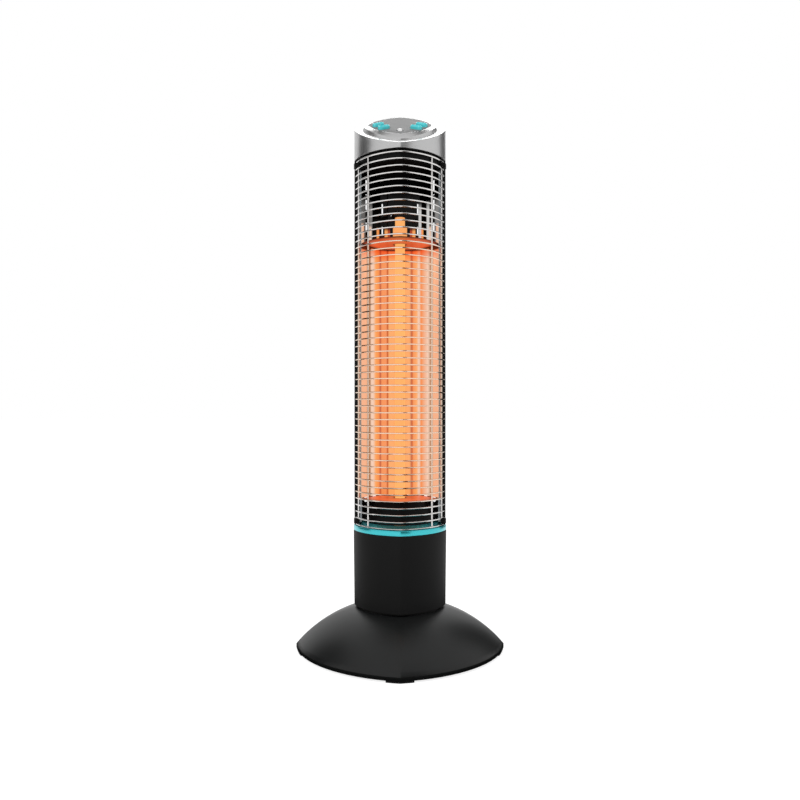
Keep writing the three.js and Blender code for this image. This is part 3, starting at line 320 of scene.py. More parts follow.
# %% Moulded plastics
MOULDED = {
    # name: (colour, lighter colour, roughness, specular level, grain in mm, depth of grain in mm)
    "satin_black_abs": ("#111212", "#151616", 0.36, 0.3, 1.2, 0.02),
    "matt_black_abs": ("#171717", "#1b1b1b", 0.5, 0.08, 1.0, 0.03),
    "inner_black_abs": ("#0b0b0b", "#0e0e0e", 0.45, 0.08, 1.0, 0.03),
    "grey_panel_abs": ("#858585", "#8b8b8b", 0.6, 0.04, 0.9, 0.02),
    "teal_button_abs": ("#45cfd6", "#55d8de", 0.18, 0.6, 2.0, 0.01),
    "nitrile_rubber": ("#121212", "#1a1a1a", 0.85, 0.2, 1.0, 0.06),
    "natural_acetal": ("#e2ded2", "#e9e6dc", 0.4, 0.4, 1.5, 0.02),
    # black so that the swivel washer shows as painted shade in the gap under the column
    "painted_shade_acetal": ("#0e0e0e", "#141414", 0.45, 0.1, 1.5, 0.02),
    "pvc_sheath": ("#1c1c1c", "#242424", 0.5, 0.3, 1.5, 0.03),
}
finishes = {}
for name, (base, light, roughness, gloss, grain, depth) in MOULDED.items():
    material, tree, place = begin(name)
    fine = add(tree, "TexNoise", {"Scale": 1 / (grain * MM), "Detail": 3}, {"Vector": place})
    broad = add(tree, "TexNoise", {"Scale": 1 / (40 * MM), "Detail": 2}, {"Vector": place})
    tint = add(
        tree,
        "Mix",
        {6: colour(base), 7: colour(light)},
        {"Factor": broad.outputs["Fac"]},
        data_type="RGBA",
    )
    rough = add(
        tree,
        "MapRange",
        {"To Min": roughness - 0.05, "To Max": roughness + 0.05},
        {"Value": fine.outputs["Fac"]},
    )
    bump = add(
        tree, "Bump", {"Strength": 0.5, "Distance": depth * MM}, {"Height": fine.outputs["Fac"]}
    )
    shader = add(
        tree,
        "BsdfPrincipled",
        {"IOR": 1.5, "Specular IOR Level": gloss},
        {
            "Base Color": tint.outputs[2],
            "Roughness": rough.outputs[0],
            "Normal": bump.outputs[0],
        },
    )
    end(tree, shader)
    finishes[name] = material
print("moulded plastics:", ", ".join(finishes))

# %% [markdown]
# ## Metals
# A metal's colour is the colour of its reflections, so what sets these apart is how the surface was
# made: chrome plate is smooth, zinc plate is mottled, cast iron is sandy. A noise gives each its
# own grain. A metal also mirrors what stands round it, and between the two bright plates that is
# the glowing trough, so a warmer tone is painted on the wires and rails there: a painted reflection
# of the glow.

# %% Metals
# Between these heights the metals get a painted reflection of the trough's glow.
GLOW_REFLECTION_LOW, GLOW_REFLECTION_HIGH = (228.0, 238.0), (625.0, 605.0)  # mm, where the warmth starts and is full
METALS = {
    # name: (colour, darker colour, painted reflection of the glow near the tube, roughness, its
    # spread, grain in mm, bump in mm)
    "chrome_plated_wire": ("#e4e2e0", "#d3d1cf", "#ecd2bd", 0.14, 0.04, 3.0, 0.004),
    "zinc_plated_steel": ("#9fa5a8", "#83898c", "#a8a29c", 0.38, 0.12, 5.0, 0.01),
    "cast_iron": ("#3b3b3b", "#2a2a2a", "#3b3b3b", 0.7, 0.1, 1.5, 0.15),
}
for name, (base, dark, glow_reflection, roughness, spread, grain, depth) in METALS.items():
    material, tree, place = begin(name)
    fine = add(tree, "TexNoise", {"Scale": 1 / (grain * MM), "Detail": 4}, {"Vector": place})
    cool = add(
        tree,
        "Mix",
        {6: colour(dark), 7: colour(base)},
        {"Factor": fine.outputs["Fac"]},
        data_type="RGBA",
    )
    height = add(tree, "SeparateXYZ", links={"Vector": place}).outputs["Z"]
    over_foot = add(
        tree,
        "MapRange",
        {"From Min": GLOW_REFLECTION_LOW[0] * MM, "From Max": GLOW_REFLECTION_LOW[1] * MM},
        {"Value": height},
    )
    under_plate = add(
        tree,
        "MapRange",
        {"From Min": GLOW_REFLECTION_HIGH[0] * MM, "From Max": GLOW_REFLECTION_HIGH[1] * MM},
        {"Value": height},
    )
    glow_reflection_share = add(
        tree,
        "Math",
        links={0: over_foot.outputs[0], 1: under_plate.outputs[0]},
        operation="MULTIPLY",
    )
    # The warm colour mixed in here is a painted reflection of the glow, not the metal's own colour.
    tint = add(
        tree,
        "Mix",
        {7: colour(glow_reflection)},
        {"Factor": glow_reflection_share.outputs[0], 6: cool.outputs[2]},
        data_type="RGBA",
    )
    rough = add(
        tree,
        "MapRange",
        {"To Min": roughness - spread, "To Max": roughness + spread},
        {"Value": fine.outputs["Fac"]},
    )
    bump = add(
        tree, "Bump", {"Strength": 0.5, "Distance": depth * MM}, {"Height": fine.outputs["Fac"]}
    )
    shader = add(
        tree,
        "BsdfPrincipled",
        {"Metallic": 1.0},
        {
            "Base Color": tint.outputs[2],
            "Roughness": rough.outputs[0],
            "Normal": bump.outputs[0],
        },
    )
    end(tree, shader)
    finishes[name] = material
print("metals:", ", ".join(METALS))

# %% [markdown]
# ## Silver paint
# The head is ABS sprayed with silver: fine aluminium flakes in a clear lacquer. The flakes make it
# reflect like a metal with a soft blur, and the lacquer adds a sharper gloss on top.
# The base colour is a mid silver, so the sides read grey against the white background.
# The flakes are about 0.02 mm; they are drawn here as a 0.8 mm noise that slightly sways the colour
# and the roughness.

# %% Silver paint
material, tree, place = begin("silver_flake_paint")
flakes = add(tree, "TexNoise", {"Scale": 1 / (0.8 * MM), "Detail": 2}, {"Vector": place})
tint = add(
    tree,
    "Mix",
    {6: colour("#b8b8b8"), 7: colour("#c2c2c2")},
    {"Factor": flakes.outputs["Fac"]},
    data_type="RGBA",
)
rough = add(tree, "MapRange", {"To Min": 0.3, "To Max": 0.36}, {"Value": flakes.outputs["Fac"]})
shader = add(
    tree,
    "BsdfPrincipled",
    {"Metallic": 0.95, "Coat Weight": 0.3, "Coat Roughness": 0.1},
    {"Base Color": tint.outputs[2], "Roughness": rough.outputs[0]},
)
end(tree, shader)
finishes["silver_flake_paint"] = material

# %% [markdown]
# ## Teal enamel
# The ring under the guard is sprayed in a glossy teal enamel with a little pearl in it, so it is
# part metallic: it takes on the brightness of what it faces, in its own colour.

# %% Teal enamel
material, tree, place = begin("teal_pearl_enamel")
pearl = add(tree, "TexNoise", {"Scale": 1 / (1.0 * MM), "Detail": 2}, {"Vector": place})
tint = add(
    tree,
    "Mix",
    {6: colour("#2cb2bb"), 7: colour("#3ec2ca")},
    {"Factor": pearl.outputs["Fac"]},
    data_type="RGBA",
)
rough = add(tree, "MapRange", {"To Min": 0.18, "To Max": 0.26}, {"Value": pearl.outputs["Fac"]})
shader = add(
    tree,
    "BsdfPrincipled",
    {"Metallic": 0.8, "Coat Weight": 0.4, "Coat Roughness": 0.06},
    {"Base Color": tint.outputs[2], "Roughness": rough.outputs[0]},
)
end(tree, shader)
finishes["teal_pearl_enamel"] = material

# %% [markdown]
# ## The reflector
# The trough is bright anodised aluminium sheet, rolled along its length, so its faint lines run up
# and down. Metal like this shows what stands round it: the black lid above the upper plate, and
# below it the tube, whose glow the fine lines spread across each fold. A few centimetres from a
# tube at 1100 degrees that light outshines the room. So below the plate that light is painted on
# the sheet as a glow of its own, in bands along the folds, and right under the plate a painted
# shadow is left. Strips of painted glow leak past the plate, and painted pale reflections of the
# room reach down to them. Only the faces that look forward get the painted glow: the back of the
# sheet stays dark behind the air slots.

# %% Reflector aluminium
SHIELD_Z = 620.0  # height of the upper plate in mm
PAINTED_GLOW_STRENGTH = 0.9
ORANGE, DEEP_ORANGE, RED_BROWN = colour("#ffa85e"), colour("#f8904e"), colour("#bc4c28")
PEACH, PALE, OLIVE = colour("#f6b690"), colour("#f2d2bc"), colour("#96704f")
BLACK = colour("#050302")
PAINTED_GLOW_BELOW = (
    # place across the trough in mm, and the colour of its painted glow there, between the two
    # plates
    (-58, PEACH), (-51.5, PEACH), (-49.5, OLIVE), (-46.5, OLIVE), (-44.5, PALE), (-41.5, PALE),
    (-38, ORANGE), (-33, DEEP_ORANGE), (-31, RED_BROWN), (-28.5, DEEP_ORANGE),
    (-22, DEEP_ORANGE), (-19.3, RED_BROWN), (-17.5, ORANGE), (15, ORANGE), (18.5, RED_BROWN),
    (21, DEEP_ORANGE), (26, ORANGE), (30, PALE), (33, DEEP_ORANGE), (38, PEACH), (43.5, PALE),
    (48, OLIVE), (51.5, PEACH), (58, PEACH),
)
PAINTED_GLOW_ABOVE = (
    # the painted glow that leaks past the upper plate, in strips between the folds
    (0, BLACK), (15.5, BLACK), (16, RED_BROWN), (19, RED_BROWN), (20, ORANGE), (24, ORANGE),
    (24.5, BLACK), (32.5, BLACK), (33, DEEP_ORANGE), (36, ORANGE), (37, BLACK), (43.5, BLACK),
    (44.5, PALE), (49, PALE), (50, BLACK), (54.5, BLACK), (55.5, PEACH), (59, PALE),
)
PAINTED_STREAKS = (
    # painted pale reflections of the room higher up
    (-60, colour("#6a6866")), (-54.5, colour("#6a6866")), (-52.5, BLACK), (-48.5, BLACK),
    (-47, colour("#868381")), (-44, colour("#868381")), (-42.5, BLACK), (28.8, BLACK),
    (30, colour("#d6d4d2")), (33, colour("#d6d4d2")), (34, BLACK), (41, BLACK),
    (42, colour("#dad8d6")), (45, colour("#dad8d6")), (46, BLACK), (53, BLACK),
    (54.5, colour("#8c8a88")), (58.5, colour("#8c8a88")), (60, BLACK),
)


def bands(tree, value, stops, low, high):
    """A colour ramp whose stops are given in mm."""
    share = add(tree, "MapRange", {"From Min": low * MM, "From Max": high * MM}, {"Value": value})
    node = add(tree, "ValToRGB", links={"Fac": share.outputs[0]})
    ramp = node.color_ramp.elements
    for i, (spot, tone) in enumerate(stops):
        position = (spot - low) / (high - low)
        if i < 2:
            ramp[i].position = position
            ramp[i].color = tone
        else:
            ramp.new(position).color = tone
    return node.outputs["Color"]


material, tree, place = begin("bright_anodised_aluminium")
parts = add(tree, "SeparateXYZ", links={"Vector": place})
from_middle = add(tree, "Math", links={0: parts.outputs["X"]}, operation="ABSOLUTE")
below_colour = bands(tree, parts.outputs["X"], PAINTED_GLOW_BELOW, -60, 60)
above_colour = bands(tree, from_middle.outputs[0], PAINTED_GLOW_ABOVE, 0, 60)
painted_streak_colour = bands(tree, parts.outputs["X"], PAINTED_STREAKS, -60, 60)
# The strips, streaks and orange below are heights of the painted glow and painted reflections.
HEIGHTS = {
    # what changes along the height: (where it is 0, where it is 1), in mm
    "below_plate": (SHIELD_Z + 1, SHIELD_Z),
    "above_plate": (SHIELD_Z, SHIELD_Z + 1),
    "strips": (653.0, 648.0),
    "streaks": (692.0, 678.0),
    "orange": (SHIELD_Z - 4, SHIELD_Z - 20),
}
height = parts.outputs["Z"]
at = {}
for name, (low, high) in HEIGHTS.items():
    node = add(
        tree, "MapRange", {"From Min": low * MM, "From Max": high * MM}, {"Value": height}
    )
    at[name] = node.outputs[0]
# The painted shadow under the plate ends 4 mm below it at the inner folds and 9 mm at the outer
# ones.
deeper = add(
    tree,
    "MapRange",
    {"From Min": 44 * MM, "From Max": 48 * MM, "To Max": 5 * MM},
    {"Value": from_middle.outputs[0]},
)
shaded = add(tree, "Math", links={0: height, 1: deeper.outputs[0]}, operation="ADD")
past_shadow = add(
    tree,
    "MapRange",
    {"From Min": (SHIELD_Z - 1.5) * MM, "From Max": (SHIELD_Z - 4) * MM},
    {"Value": shaded.outputs[0]},
)
lit = add(
    tree, "Math", links={0: at["above_plate"], 1: past_shadow.outputs[0]}, operation="MAXIMUM"
)
# Only the faces that look forward get the painted glow.
facing = add(tree, "SeparateXYZ", links={"Vector": add(tree, "TexCoord").outputs["Normal"]})
inside = add(
    tree,
    "MapRange",
    {"From Min": 0.0, "From Max": -0.1, "To Max": PAINTED_GLOW_STRENGTH},
    {"Value": facing.outputs["Y"]},
)
shining = add(tree, "Math", links={0: at["streaks"], 1: lit.outputs[0]}, operation="MULTIPLY")
power = add(
    tree, "Math", links={0: shining.outputs[0], 1: inside.outputs[0]}, operation="MULTIPLY"
)
painted_upper_glow = add(
    tree,
    "Mix",
    links={"Factor": at["strips"], 6: painted_streak_colour, 7: above_colour},
    data_type="RGBA",
    blend_type="LIGHTEN",
)
# Right under the plate the painted glow turns redder.
redder = add(
    tree,
    "Mix",
    {7: colour("#ffa078"), "Factor": 1.0},
    {6: below_colour},
    data_type="RGBA",
    blend_type="MULTIPLY",
)
painted_lower_glow = add(
    tree,
    "Mix",
    links={"Factor": at["orange"], 6: redder.outputs[2], 7: below_colour},
    data_type="RGBA",
)
# The painted glow: below the plate, and in strips and painted reflections above it.
glow = add(
    tree,
    "Mix",
    links={"Factor": at["below_plate"], 6: painted_upper_glow.outputs[2], 7: painted_lower_glow.outputs[2]},
    data_type="RGBA",
)
# The sheet's colour is painted too: dark above the plate as painted shade, warm below it as the
# tube's light.
sheet_with_painted_shade = add(
    tree,
    "Mix",
    {6: colour("#1c1b1b"), 7: colour("#5c5049")},
    {"Factor": at["below_plate"]},
    data_type="RGBA",
)
stretched = add(tree, "Mapping", {"Scale": (1, 1, 0.01)}, {"Vector": place})
lines = add(
    tree,
    "TexNoise",
    {"Scale": 1 / (1.6 * MM), "Detail": 3},
    {"Vector": stretched.outputs[0]},
)
rough = add(tree, "MapRange", {"To Min": 0.1, "To Max": 0.2}, {"Value": lines.outputs["Fac"]})
bump = add(
    tree, "Bump", {"Strength": 0.3, "Distance": 0.01 * MM}, {"Height": lines.outputs["Fac"]}
)
shader = add(
    tree,
    "BsdfPrincipled",
    {"Metallic": 1.0},
    {
        "Base Color": sheet_with_painted_shade.outputs[2],
        "Roughness": rough.outputs[0],
        "Normal": bump.outputs[0],
        "Emission Color": glow.outputs[2],
        "Emission Strength": power.outputs[0],
    },
)
end(tree, shader)
finishes["bright_anodised_aluminium"] = material

# %% [markdown]
# ## Plates lit by the tube
# The two plates across the trough are the same sheet. Lit from so close by the tube they look a
# deep orange red, and that light is painted on them as a glow in a band round the tube, fading to
# black towards their ends.

# %% Sheet with painted tube light
material, tree, place = begin("painted_glow_aluminium")
round_tube = add(tree, "VectorMath", {1: (1, 1, 0)}, {0: place}, operation="MULTIPLY")
reach = add(tree, "VectorMath", links={0: round_tube.outputs[0]}, operation="LENGTH")
PAINTED_TUBE_GLOW = (
    # distance from the middle of the tube in mm, and the colour of the painted glow there
    (0, BLACK), (10.3, BLACK), (11.3, colour("#b8421f")), (22, colour("#c84d27")),
    (38, colour("#dc5a30")), (50, colour("#a23a1e")), (58, colour("#3a120a")), (70, BLACK),
)
tint = bands(tree, reach.outputs["Value"], PAINTED_TUBE_GLOW, 0, 70)
mottle = add(tree, "TexNoise", {"Scale": 1 / (6 * MM), "Detail": 3}, {"Vector": place})
rough = add(tree, "MapRange", {"To Min": 0.3, "To Max": 0.45}, {"Value": mottle.outputs["Fac"]})
shader = add(
    tree,
    "BsdfPrincipled",
    {"Metallic": 1.0, "Base Color": colour("#4a342c"), "Emission Strength": 0.9},
    {"Roughness": rough.outputs[0], "Emission Color": tint},
)
end(tree, shader)
finishes["painted_glow_aluminium"] = material

# %% [markdown]
# ## What glows
# A ribbon of carbon in a quartz tube is heated to about 1100 degrees and glows orange. The tube is
# ground on its surface, so it glows evenly and hides the ribbon. A slow wave sways the glow by a
# few hundredths along its length. The ceramic collar and caps at its ends take its light, and that
# light is painted on them as a glow of their own.

# %% Glowing materials
GLOWING = {
    # name: (colour, glow, brightness, roughness)
    "lit_quartz": ("#5a3c28", "#ffb266", 0.97, 0.18),
    "hot_carbon": ("#3a1405", "#ffb050", 1.2, 0.8),
    # the ceramic's glow is the tube's light painted on it
    "lit_ceramic": ("#8a6446", "#ffac64", 0.82, 0.5),
}
for name, (base, glow, strength, roughness) in GLOWING.items():
    material, tree, place = begin(name)
    # A wave of the texture is 2 pi / 20 / scale long, which is 0.35 m here.
    sway = add(
        tree,
        "TexWave",
        {"Scale": 1 / (20 * 55 * MM), "Distortion": 0.4, "Detail": 1},
        {"Vector": place},
        bands_direction="Z",
    )
    power = add(
        tree,
        "MapRange",
        {"To Min": strength * 0.94, "To Max": strength * 1.04},
        {"Value": sway.outputs["Fac"]},
    )
    grit = add(tree, "TexNoise", {"Scale": 1 / (1.0 * MM), "Detail": 2}, {"Vector": place})
    rough = add(
        tree,
        "MapRange",
        {"To Min": roughness, "To Max": roughness + 0.08},
        {"Value": grit.outputs["Fac"]},
    )
    shader = add(
        tree,
        "BsdfPrincipled",
        {"Base Color": colour(base), "Emission Color": colour(glow), "Specular IOR Level": 0.2},
        {"Emission Strength": power.outputs[0], "Roughness": rough.outputs[0]},
    )
    end(tree, shader)
    finishes[name] = material
print("glowing:", ", ".join(GLOWING))

# %% [markdown]
# ## Circuit board and window
# The boards are glass fibre with a green solder mask over faint copper tracks. The remote control's
# window is a smoked polycarbonate dome, with a white highlight painted at its front.

# %% Circuit board and window
material, tree, place = begin("solder_masked_board")
tracks = add(
    tree,
    "TexBrick",
    {
        "Color1": colour("#1f5a3a"),
        "Color2": colour("#245f3f"),
        "Mortar": colour("#2f7350"),
        "Scale": 1 / (8 * MM),
        "Mortar Size": 0.05,
    },
    {"Vector": place},
)
shader = add(
    tree,
    "BsdfPrincipled",
    {"Roughness": 0.35},
    {"Base Color": tracks.outputs["Color"]},
)
end(tree, shader)
finishes["solder_masked_board"] = material

material, tree, place = begin("smoked_polycarbonate")
SPOT = (0, -35.9 * MM, 783.5 * MM)  # the middle of the painted highlight
from_spot = add(tree, "VectorMath", {1: SPOT}, {0: place}, operation="DISTANCE")
# A white painted highlight on the front of the dark dome, round the spot.
PAINTED_HIGHLIGHT = (
    # distance from the spot in mm, and the colour there
    (0, colour("#f6f6f6")), (3.4, colour("#e8e8e8")), (4.0, colour("#1a1a1a")),
    (9, colour("#141414")),
)
tint = bands(tree, from_spot.outputs["Value"], PAINTED_HIGHLIGHT, 0, 10)
cloud = add(tree, "TexNoise", {"Scale": 1 / (2 * MM), "Detail": 2}, {"Vector": place})
rough = add(tree, "MapRange", {"To Min": 0.12, "To Max": 0.3}, {"Value": cloud.outputs["Fac"]})
shader = add(
    tree,
    "BsdfPrincipled",
    {"IOR": 1.58, "Specular IOR Level": 0.3},
    {"Base Color": tint, "Roughness": rough.outputs[0]},
)
end(tree, shader)
finishes["smoked_polycarbonate"] = material
print("finishes made:", len(finishes))

# %% [markdown]
# ## Base
# The base is one moulding: a thin upright rim, and a dome that rises in a single arc to the column.
# Its corners fade as they climb. It is skinned from loops of the plan at shrinking sizes. Inside, a
# round well holds the turning gear, so the skin goes on from the top edge to a circle, down the
# well, and back along the inside of the dome.

# %% Base shell
RIM_BOTTOM, RIM_TOP, DOME_TOP = 3.0, 9.0, 66.5
DOME_RADIUS = 172.0
WELL_RADIUS, WELL_FLOOR, SHELL = 56.0, 51.0, 3.0
SLEEVE_RADIUS, WELL_OUTSIDE = 16.6, 58.5
NOSE_LOW, NOSE_GROWTH = 1.5, 7.0  # the corner's rounding at the rim, and what it gains to the top


def dome(offset, steps=14):
    """(corner, height) pairs up an arc from the rim to the column."""
    low, high = Vector((BASE, RIM_TOP)), Vector((TOWER, DOME_TOP))
    middle, half = (low + high) / 2, (high - low).length / 2
    inward = (Matrix.Rotation(math.pi / 2, 2) @ (high - low)).normalized()
    centre = middle + inward * math.sqrt(DOME_RADIUS**2 - half**2)
    first, last = (math.atan2(*(p - centre).yx) for p in (low, high))
    arc = [first + (last - first) * i / steps for i in range(steps + 1)]
    r = DOME_RADIUS - offset
    return [(centre.x + r * math.cos(a), centre.y + r * math.sin(a)) for a in arc]


def base_loop(corner, z, inset=0.0):
    nose = NOSE_LOW + NOSE_GROWTH * max(0.0, (z - RIM_TOP) / (DOME_TOP - RIM_TOP))
    return level(plan(corner, BASE_BREAK, inset, nose=nose), z)


def round_loop(radius, z):
    """As many points as a loop of the plan, on a circle and facing the same ways."""
    directions = plan(TOWER, BASE_BREAK, nose=NOSE_LOW + NOSE_GROWTH)
    return level([p.normalized() * radius for p in directions], z)


outer, inner = dome(0), dome(SHELL)
loops = [base_loop(BASE, RIM_BOTTOM, SHELL), base_loop(BASE, RIM_BOTTOM, 0.5)]
loops += [base_loop(BASE, RIM_BOTTOM + 0.5), base_loop(BASE, RIM_TOP - 0.6)]
loops += [base_loop(*p) for p in outer[:-1]]
loops += [base_loop(outer[-1][0] + 0.4, DOME_TOP - 0.2), base_loop(outer[-1][0] - 0.6, DOME_TOP)]
loops += [round_loop(WELL_RADIUS + 0.6, DOME_TOP), round_loop(WELL_RADIUS, DOME_TOP - 0.6)]
loops += [round_loop(WELL_RADIUS, WELL_FLOOR), round_loop(SLEEVE_RADIUS, WELL_FLOOR)]
loops += [round_loop(SLEEVE_RADIUS, WELL_FLOOR - SHELL)]
loops += [round_loop(WELL_OUTSIDE, z) for z in (WELL_FLOOR - SHELL, DOME_TOP - SHELL)]
loops += [base_loop(*p) for p in reversed(inner)]
base_shell = skin("base_moulding", loops, True, sharp=50)
dress(base_shell, finishes["satin_black_abs"], "base", "black_abs", "base_shell")
print("base shell faces:", len(base_shell.data.polygons))

# %% [markdown]
# ## Feet
# Four rubber pads follow the rim under the corners and lift the base 3 mm. Two long ones are at the
# sides and two short ones at the front and back, where they show as thin dark steps below the rim.

# %% Feet
FOOT_INSET, FOOT_DEPTH, FOOT_TOP = 1.2, 13.0, 2.7
for name, half_length, turn in (
    ("foot_right", 35.0, 0),
    ("foot_back", 19.5, 90),
    ("foot_left", 35.0, 180),
    ("foot_front", 19.5, 270),
):
    along = [half_length * (i / 8 - 1) for i in range(17)]
    rim = [(half_width(FOOT_INSET, y, BASE, BASE_BREAK), y) for y in along]
    back = [(half_width(FOOT_INSET + FOOT_DEPTH, y, BASE, BASE_BREAK), y) for y in along]
    outline = rim + back[::-1]
    foot = skin("rubber_" + name, [level(outline, 0), level(outline, FOOT_TOP)])
    foot.data.transform(Matrix.Rotation(math.radians(turn), 4, "Z"))
    break_edges(foot, 0.5)
    dress(foot, finishes["nitrile_rubber"], "base", "rubber", name)

# %% [markdown]
# ## Cord gland
# At the back the cord would leave through a moulded gland: a flange, and a sleeve with ribs that
# let it flex. It is a turned piece, laid on its side.

# %% Cord gland
GLAND_BACK, GLAND_HEIGHT = 132.0, 20.0  # where its flange is behind the axis and above the floor
profile = [(3.6, 0), (7.2, 0), (7.5, 0.4), (7.5, 3.1), (7.2, 3.5), (5.5, 3.6)]
for i in range(6):
    z = 6 + 3 * i
    profile += [(5.45 - 0.1 * i, z), (4.7, z + 0.4), (4.7, z + 1.3), (5.4 - 0.1 * i, z + 1.7)]
profile += [(4.9, 25.6), (4.6, 26), (3.9, 26), (3.6, 25.7)]
gland = lathe("ribbed_gland", profile, 32, True)
on_wall = Matrix.Translation((0, GLAND_BACK * MM, GLAND_HEIGHT * MM))
gland.data.transform(on_wall @ Matrix.Rotation(math.radians(-90), 4, "X"))
dress(gland, finishes["matt_black_abs"], "base", "black_abs", "cord_gland")

# %% [markdown]
# ## Column
# The column is a matt tube of the same plan, a hair wider at its top. A small step and a taper at
# its foot make the dark line between it and the base.

# %% Column shell
COLUMN_LOW, COLUMN_HIGH, WALL = 68.2, 183.2, 2.5
SIDE_LOW, SIDE_HIGH = 71.0, 182.6  # where the taper at the foot ends and the eased top starts


def column_loop(inset, z):
    share = (z - COLUMN_LOW) / (COLUMN_HIGH - COLUMN_LOW)
    return level(plan(TOWER + (COLUMN_TOP - TOWER) * share, inset=inset), z)


outside = [(1.6, COLUMN_LOW), (0.8, COLUMN_LOW + 0.4), (0.3, COLUMN_LOW + 1.2)]
outside += [(0, SIDE_LOW + (SIDE_HIGH - SIDE_LOW) * i / 8) for i in range(9)]
outside += [(0.5, COLUMN_HIGH)]
inside = [(WALL, COLUMN_HIGH), (WALL, COLUMN_LOW)]
column = skin("column_tube", [column_loop(*p) for p in outside + inside], True)
dress(column, finishes["matt_black_abs"], "tower", "black_abs", "column_shell")

# %% [markdown]
# ## Trim ring
# The teal ring closes the top of the column. From its outer band a bevel rises inwards under the
# lowest wires. One section, drawn as points and eased, is carried round the plan.

# %% Trim ring
section = [
    (0, 183.5), (0, 190.8), (0.9, 191.5), (6.4, 191.5), (6.9, 192.4), (13.5, 197),
    (18, 197), (18, 194.8), (13.5, 194.8), (7.6, 190.1), (3.2, 188.5), (3.2, 183.5),
]
ring = casing("teal_ring", ease(section, 0.5), COLUMN_TOP)
dress(ring, finishes["teal_pearl_enamel"], "tower", "teal_paint", "trim_ring")

# %% [markdown]
# ## Rear housing
# The back half of the tower is one black moulding with a flange down each front edge. Hot air
# leaves through rows of slots behind the reflector's own, and cool air comes in lower down. The
# wall is skinned from its outline seen from above, then the slots are cut with a Boolean.

# %% Rear housing
FLANGE_FRONT, FLANGE_DEPTH, FLANGE_WIDTH = -4.4, 3.0, 4.5
HOUSING_LOW, HOUSING_HIGH = 191.8, 747.7


def back_line(inset, front):
    """The plan's back half from its right edge round to its left edge."""
    right = [p for p in plan(inset=inset) if p.y > front + 0.5 and p.x > 1e-6]
    right = sorted(right, key=lambda p: math.atan2(p.y, p.x))
    left = [Vector((-p.x, p.y)) for p in reversed(right)]
    edge = half_width(inset, front) if front < -1.7 else half_width(inset, 0)
    middle = [p for p in plan(inset=inset) if abs(p.x) <= 1e-6 and p.y > 0]
    return [Vector((edge, front)), *right, *middle, *left, Vector((-edge, front))]


flange_edge = half_width(0.8, FLANGE_FRONT) - FLANGE_WIDTH + 0.6
inner_front = FLANGE_FRONT + FLANGE_DEPTH
outline = back_line(0, FLANGE_FRONT)
outline += [Vector((-flange_edge, y)) for y in (FLANGE_FRONT, inner_front)]
outline += back_line(WALL, inner_front)[::-1]
outline += [Vector((flange_edge, y)) for y in (inner_front, FLANGE_FRONT)]
housing = skin("rear_casing", [level(outline, HOUSING_LOW), level(outline, HOUSING_HIGH)])
SLOT_COLUMNS = (14, 28.4, 41, 53.5)
SLOT_ROWS = ((641, 662), (674.5, 698), (704.5, 729), (222, 235), (240, 253))
slots = []
for x in SLOT_COLUMNS:
    for low, high in SLOT_ROWS:
        corners = [(-2.5, low), (2.5, low), (2.5, high), (-2.5, high)]
        pill = ease(corners, 2.4, 5)
        for side in (-1, 1):
            slots.append([[(side * x + p.x, y, p.y) for p in pill] for y in (20, 80)])
cut(housing, skins("slots", slots))
screw_spots = [(math.radians(a), 202.0) for a in (45, 135)]
bores = []
for turn, z in screw_spots:
    way = Vector((math.cos(turn), math.sin(turn)))
    across = Vector((-way.y, way.x))
    hole = circle(1.8, 20)
    bores.append([[(*(way * d + across * u), z + v) for u, v in hole] for d in (50, 80)])
cut(housing, skins("bores", bores))
break_edges(housing, 0.35)
dress(housing, finishes["matt_black_abs"], "tower", "black_abs", "rear_housing")
print("rear housing faces:", len(housing.data.polygons))

# %% [markdown]
# ## Wire guard
# Fifty-six bright wires, 2.2 mm thick and 10 mm apart, are bent round the two front sides and spot
# welded to four upright wires behind them. Bent wire can't turn a sharp corner, so the front nose
# has a wide bend. Each wire is a circle swept along its path, and all of them are one mesh.

# %% Wire guard
FIRST_RING, LAST_RING, RINGS = 193.0, 743.0, 56
RING_INSET, RING_RADIUS, UPRIGHT_RADIUS = 1.5, 1.1, 1.4
GUARD_END = -4.9


def bend(inset, end_y, nose=7.0, steps=18):
    """A wire's path round the front, from right to left, with a wide bend at the nose."""
    radius, centre = side_arc(TOWER, TOWER_BREAK)
    r = radius - inset
    first = math.asin((centre - end_y) / r)
    last = math.acos(centre / r) - nose / r
    arc = [first + (last - first) * i / steps for i in range(steps + 1)]
    right = [Vector((r * math.cos(a) - centre, centre - r * math.sin(a))) for a in arc]
    tip = Vector((0, centre - r * math.sin(math.acos(centre / r))))
    a, b = right[-1], Vector((-right[-1].x, right[-1].y))
    rounding = [
        a * (1 - t) ** 2 + tip * 2 * t * (1 - t) + b * t * t for t in (0.2, 0.4, 0.6, 0.8)
    ]
    return right + rounding + [Vector((-p.x, p.y)) for p in reversed(right)]


def sweep(path, radius, up, sides=10):
    """Loops of a round wire along a path whose bends all lie across the up direction."""
    loops = []
    for i, p in enumerate(path):
        along = (path[min(i + 1, len(path) - 1)] - path[max(i - 1, 0)]).normalized()
        side = along.cross(up).normalized()
        turns = [2 * math.pi * k / sides for k in range(sides)]
        loops.append([p + (side * math.cos(a) + up * math.sin(a)) * radius for a in turns])
    return loops


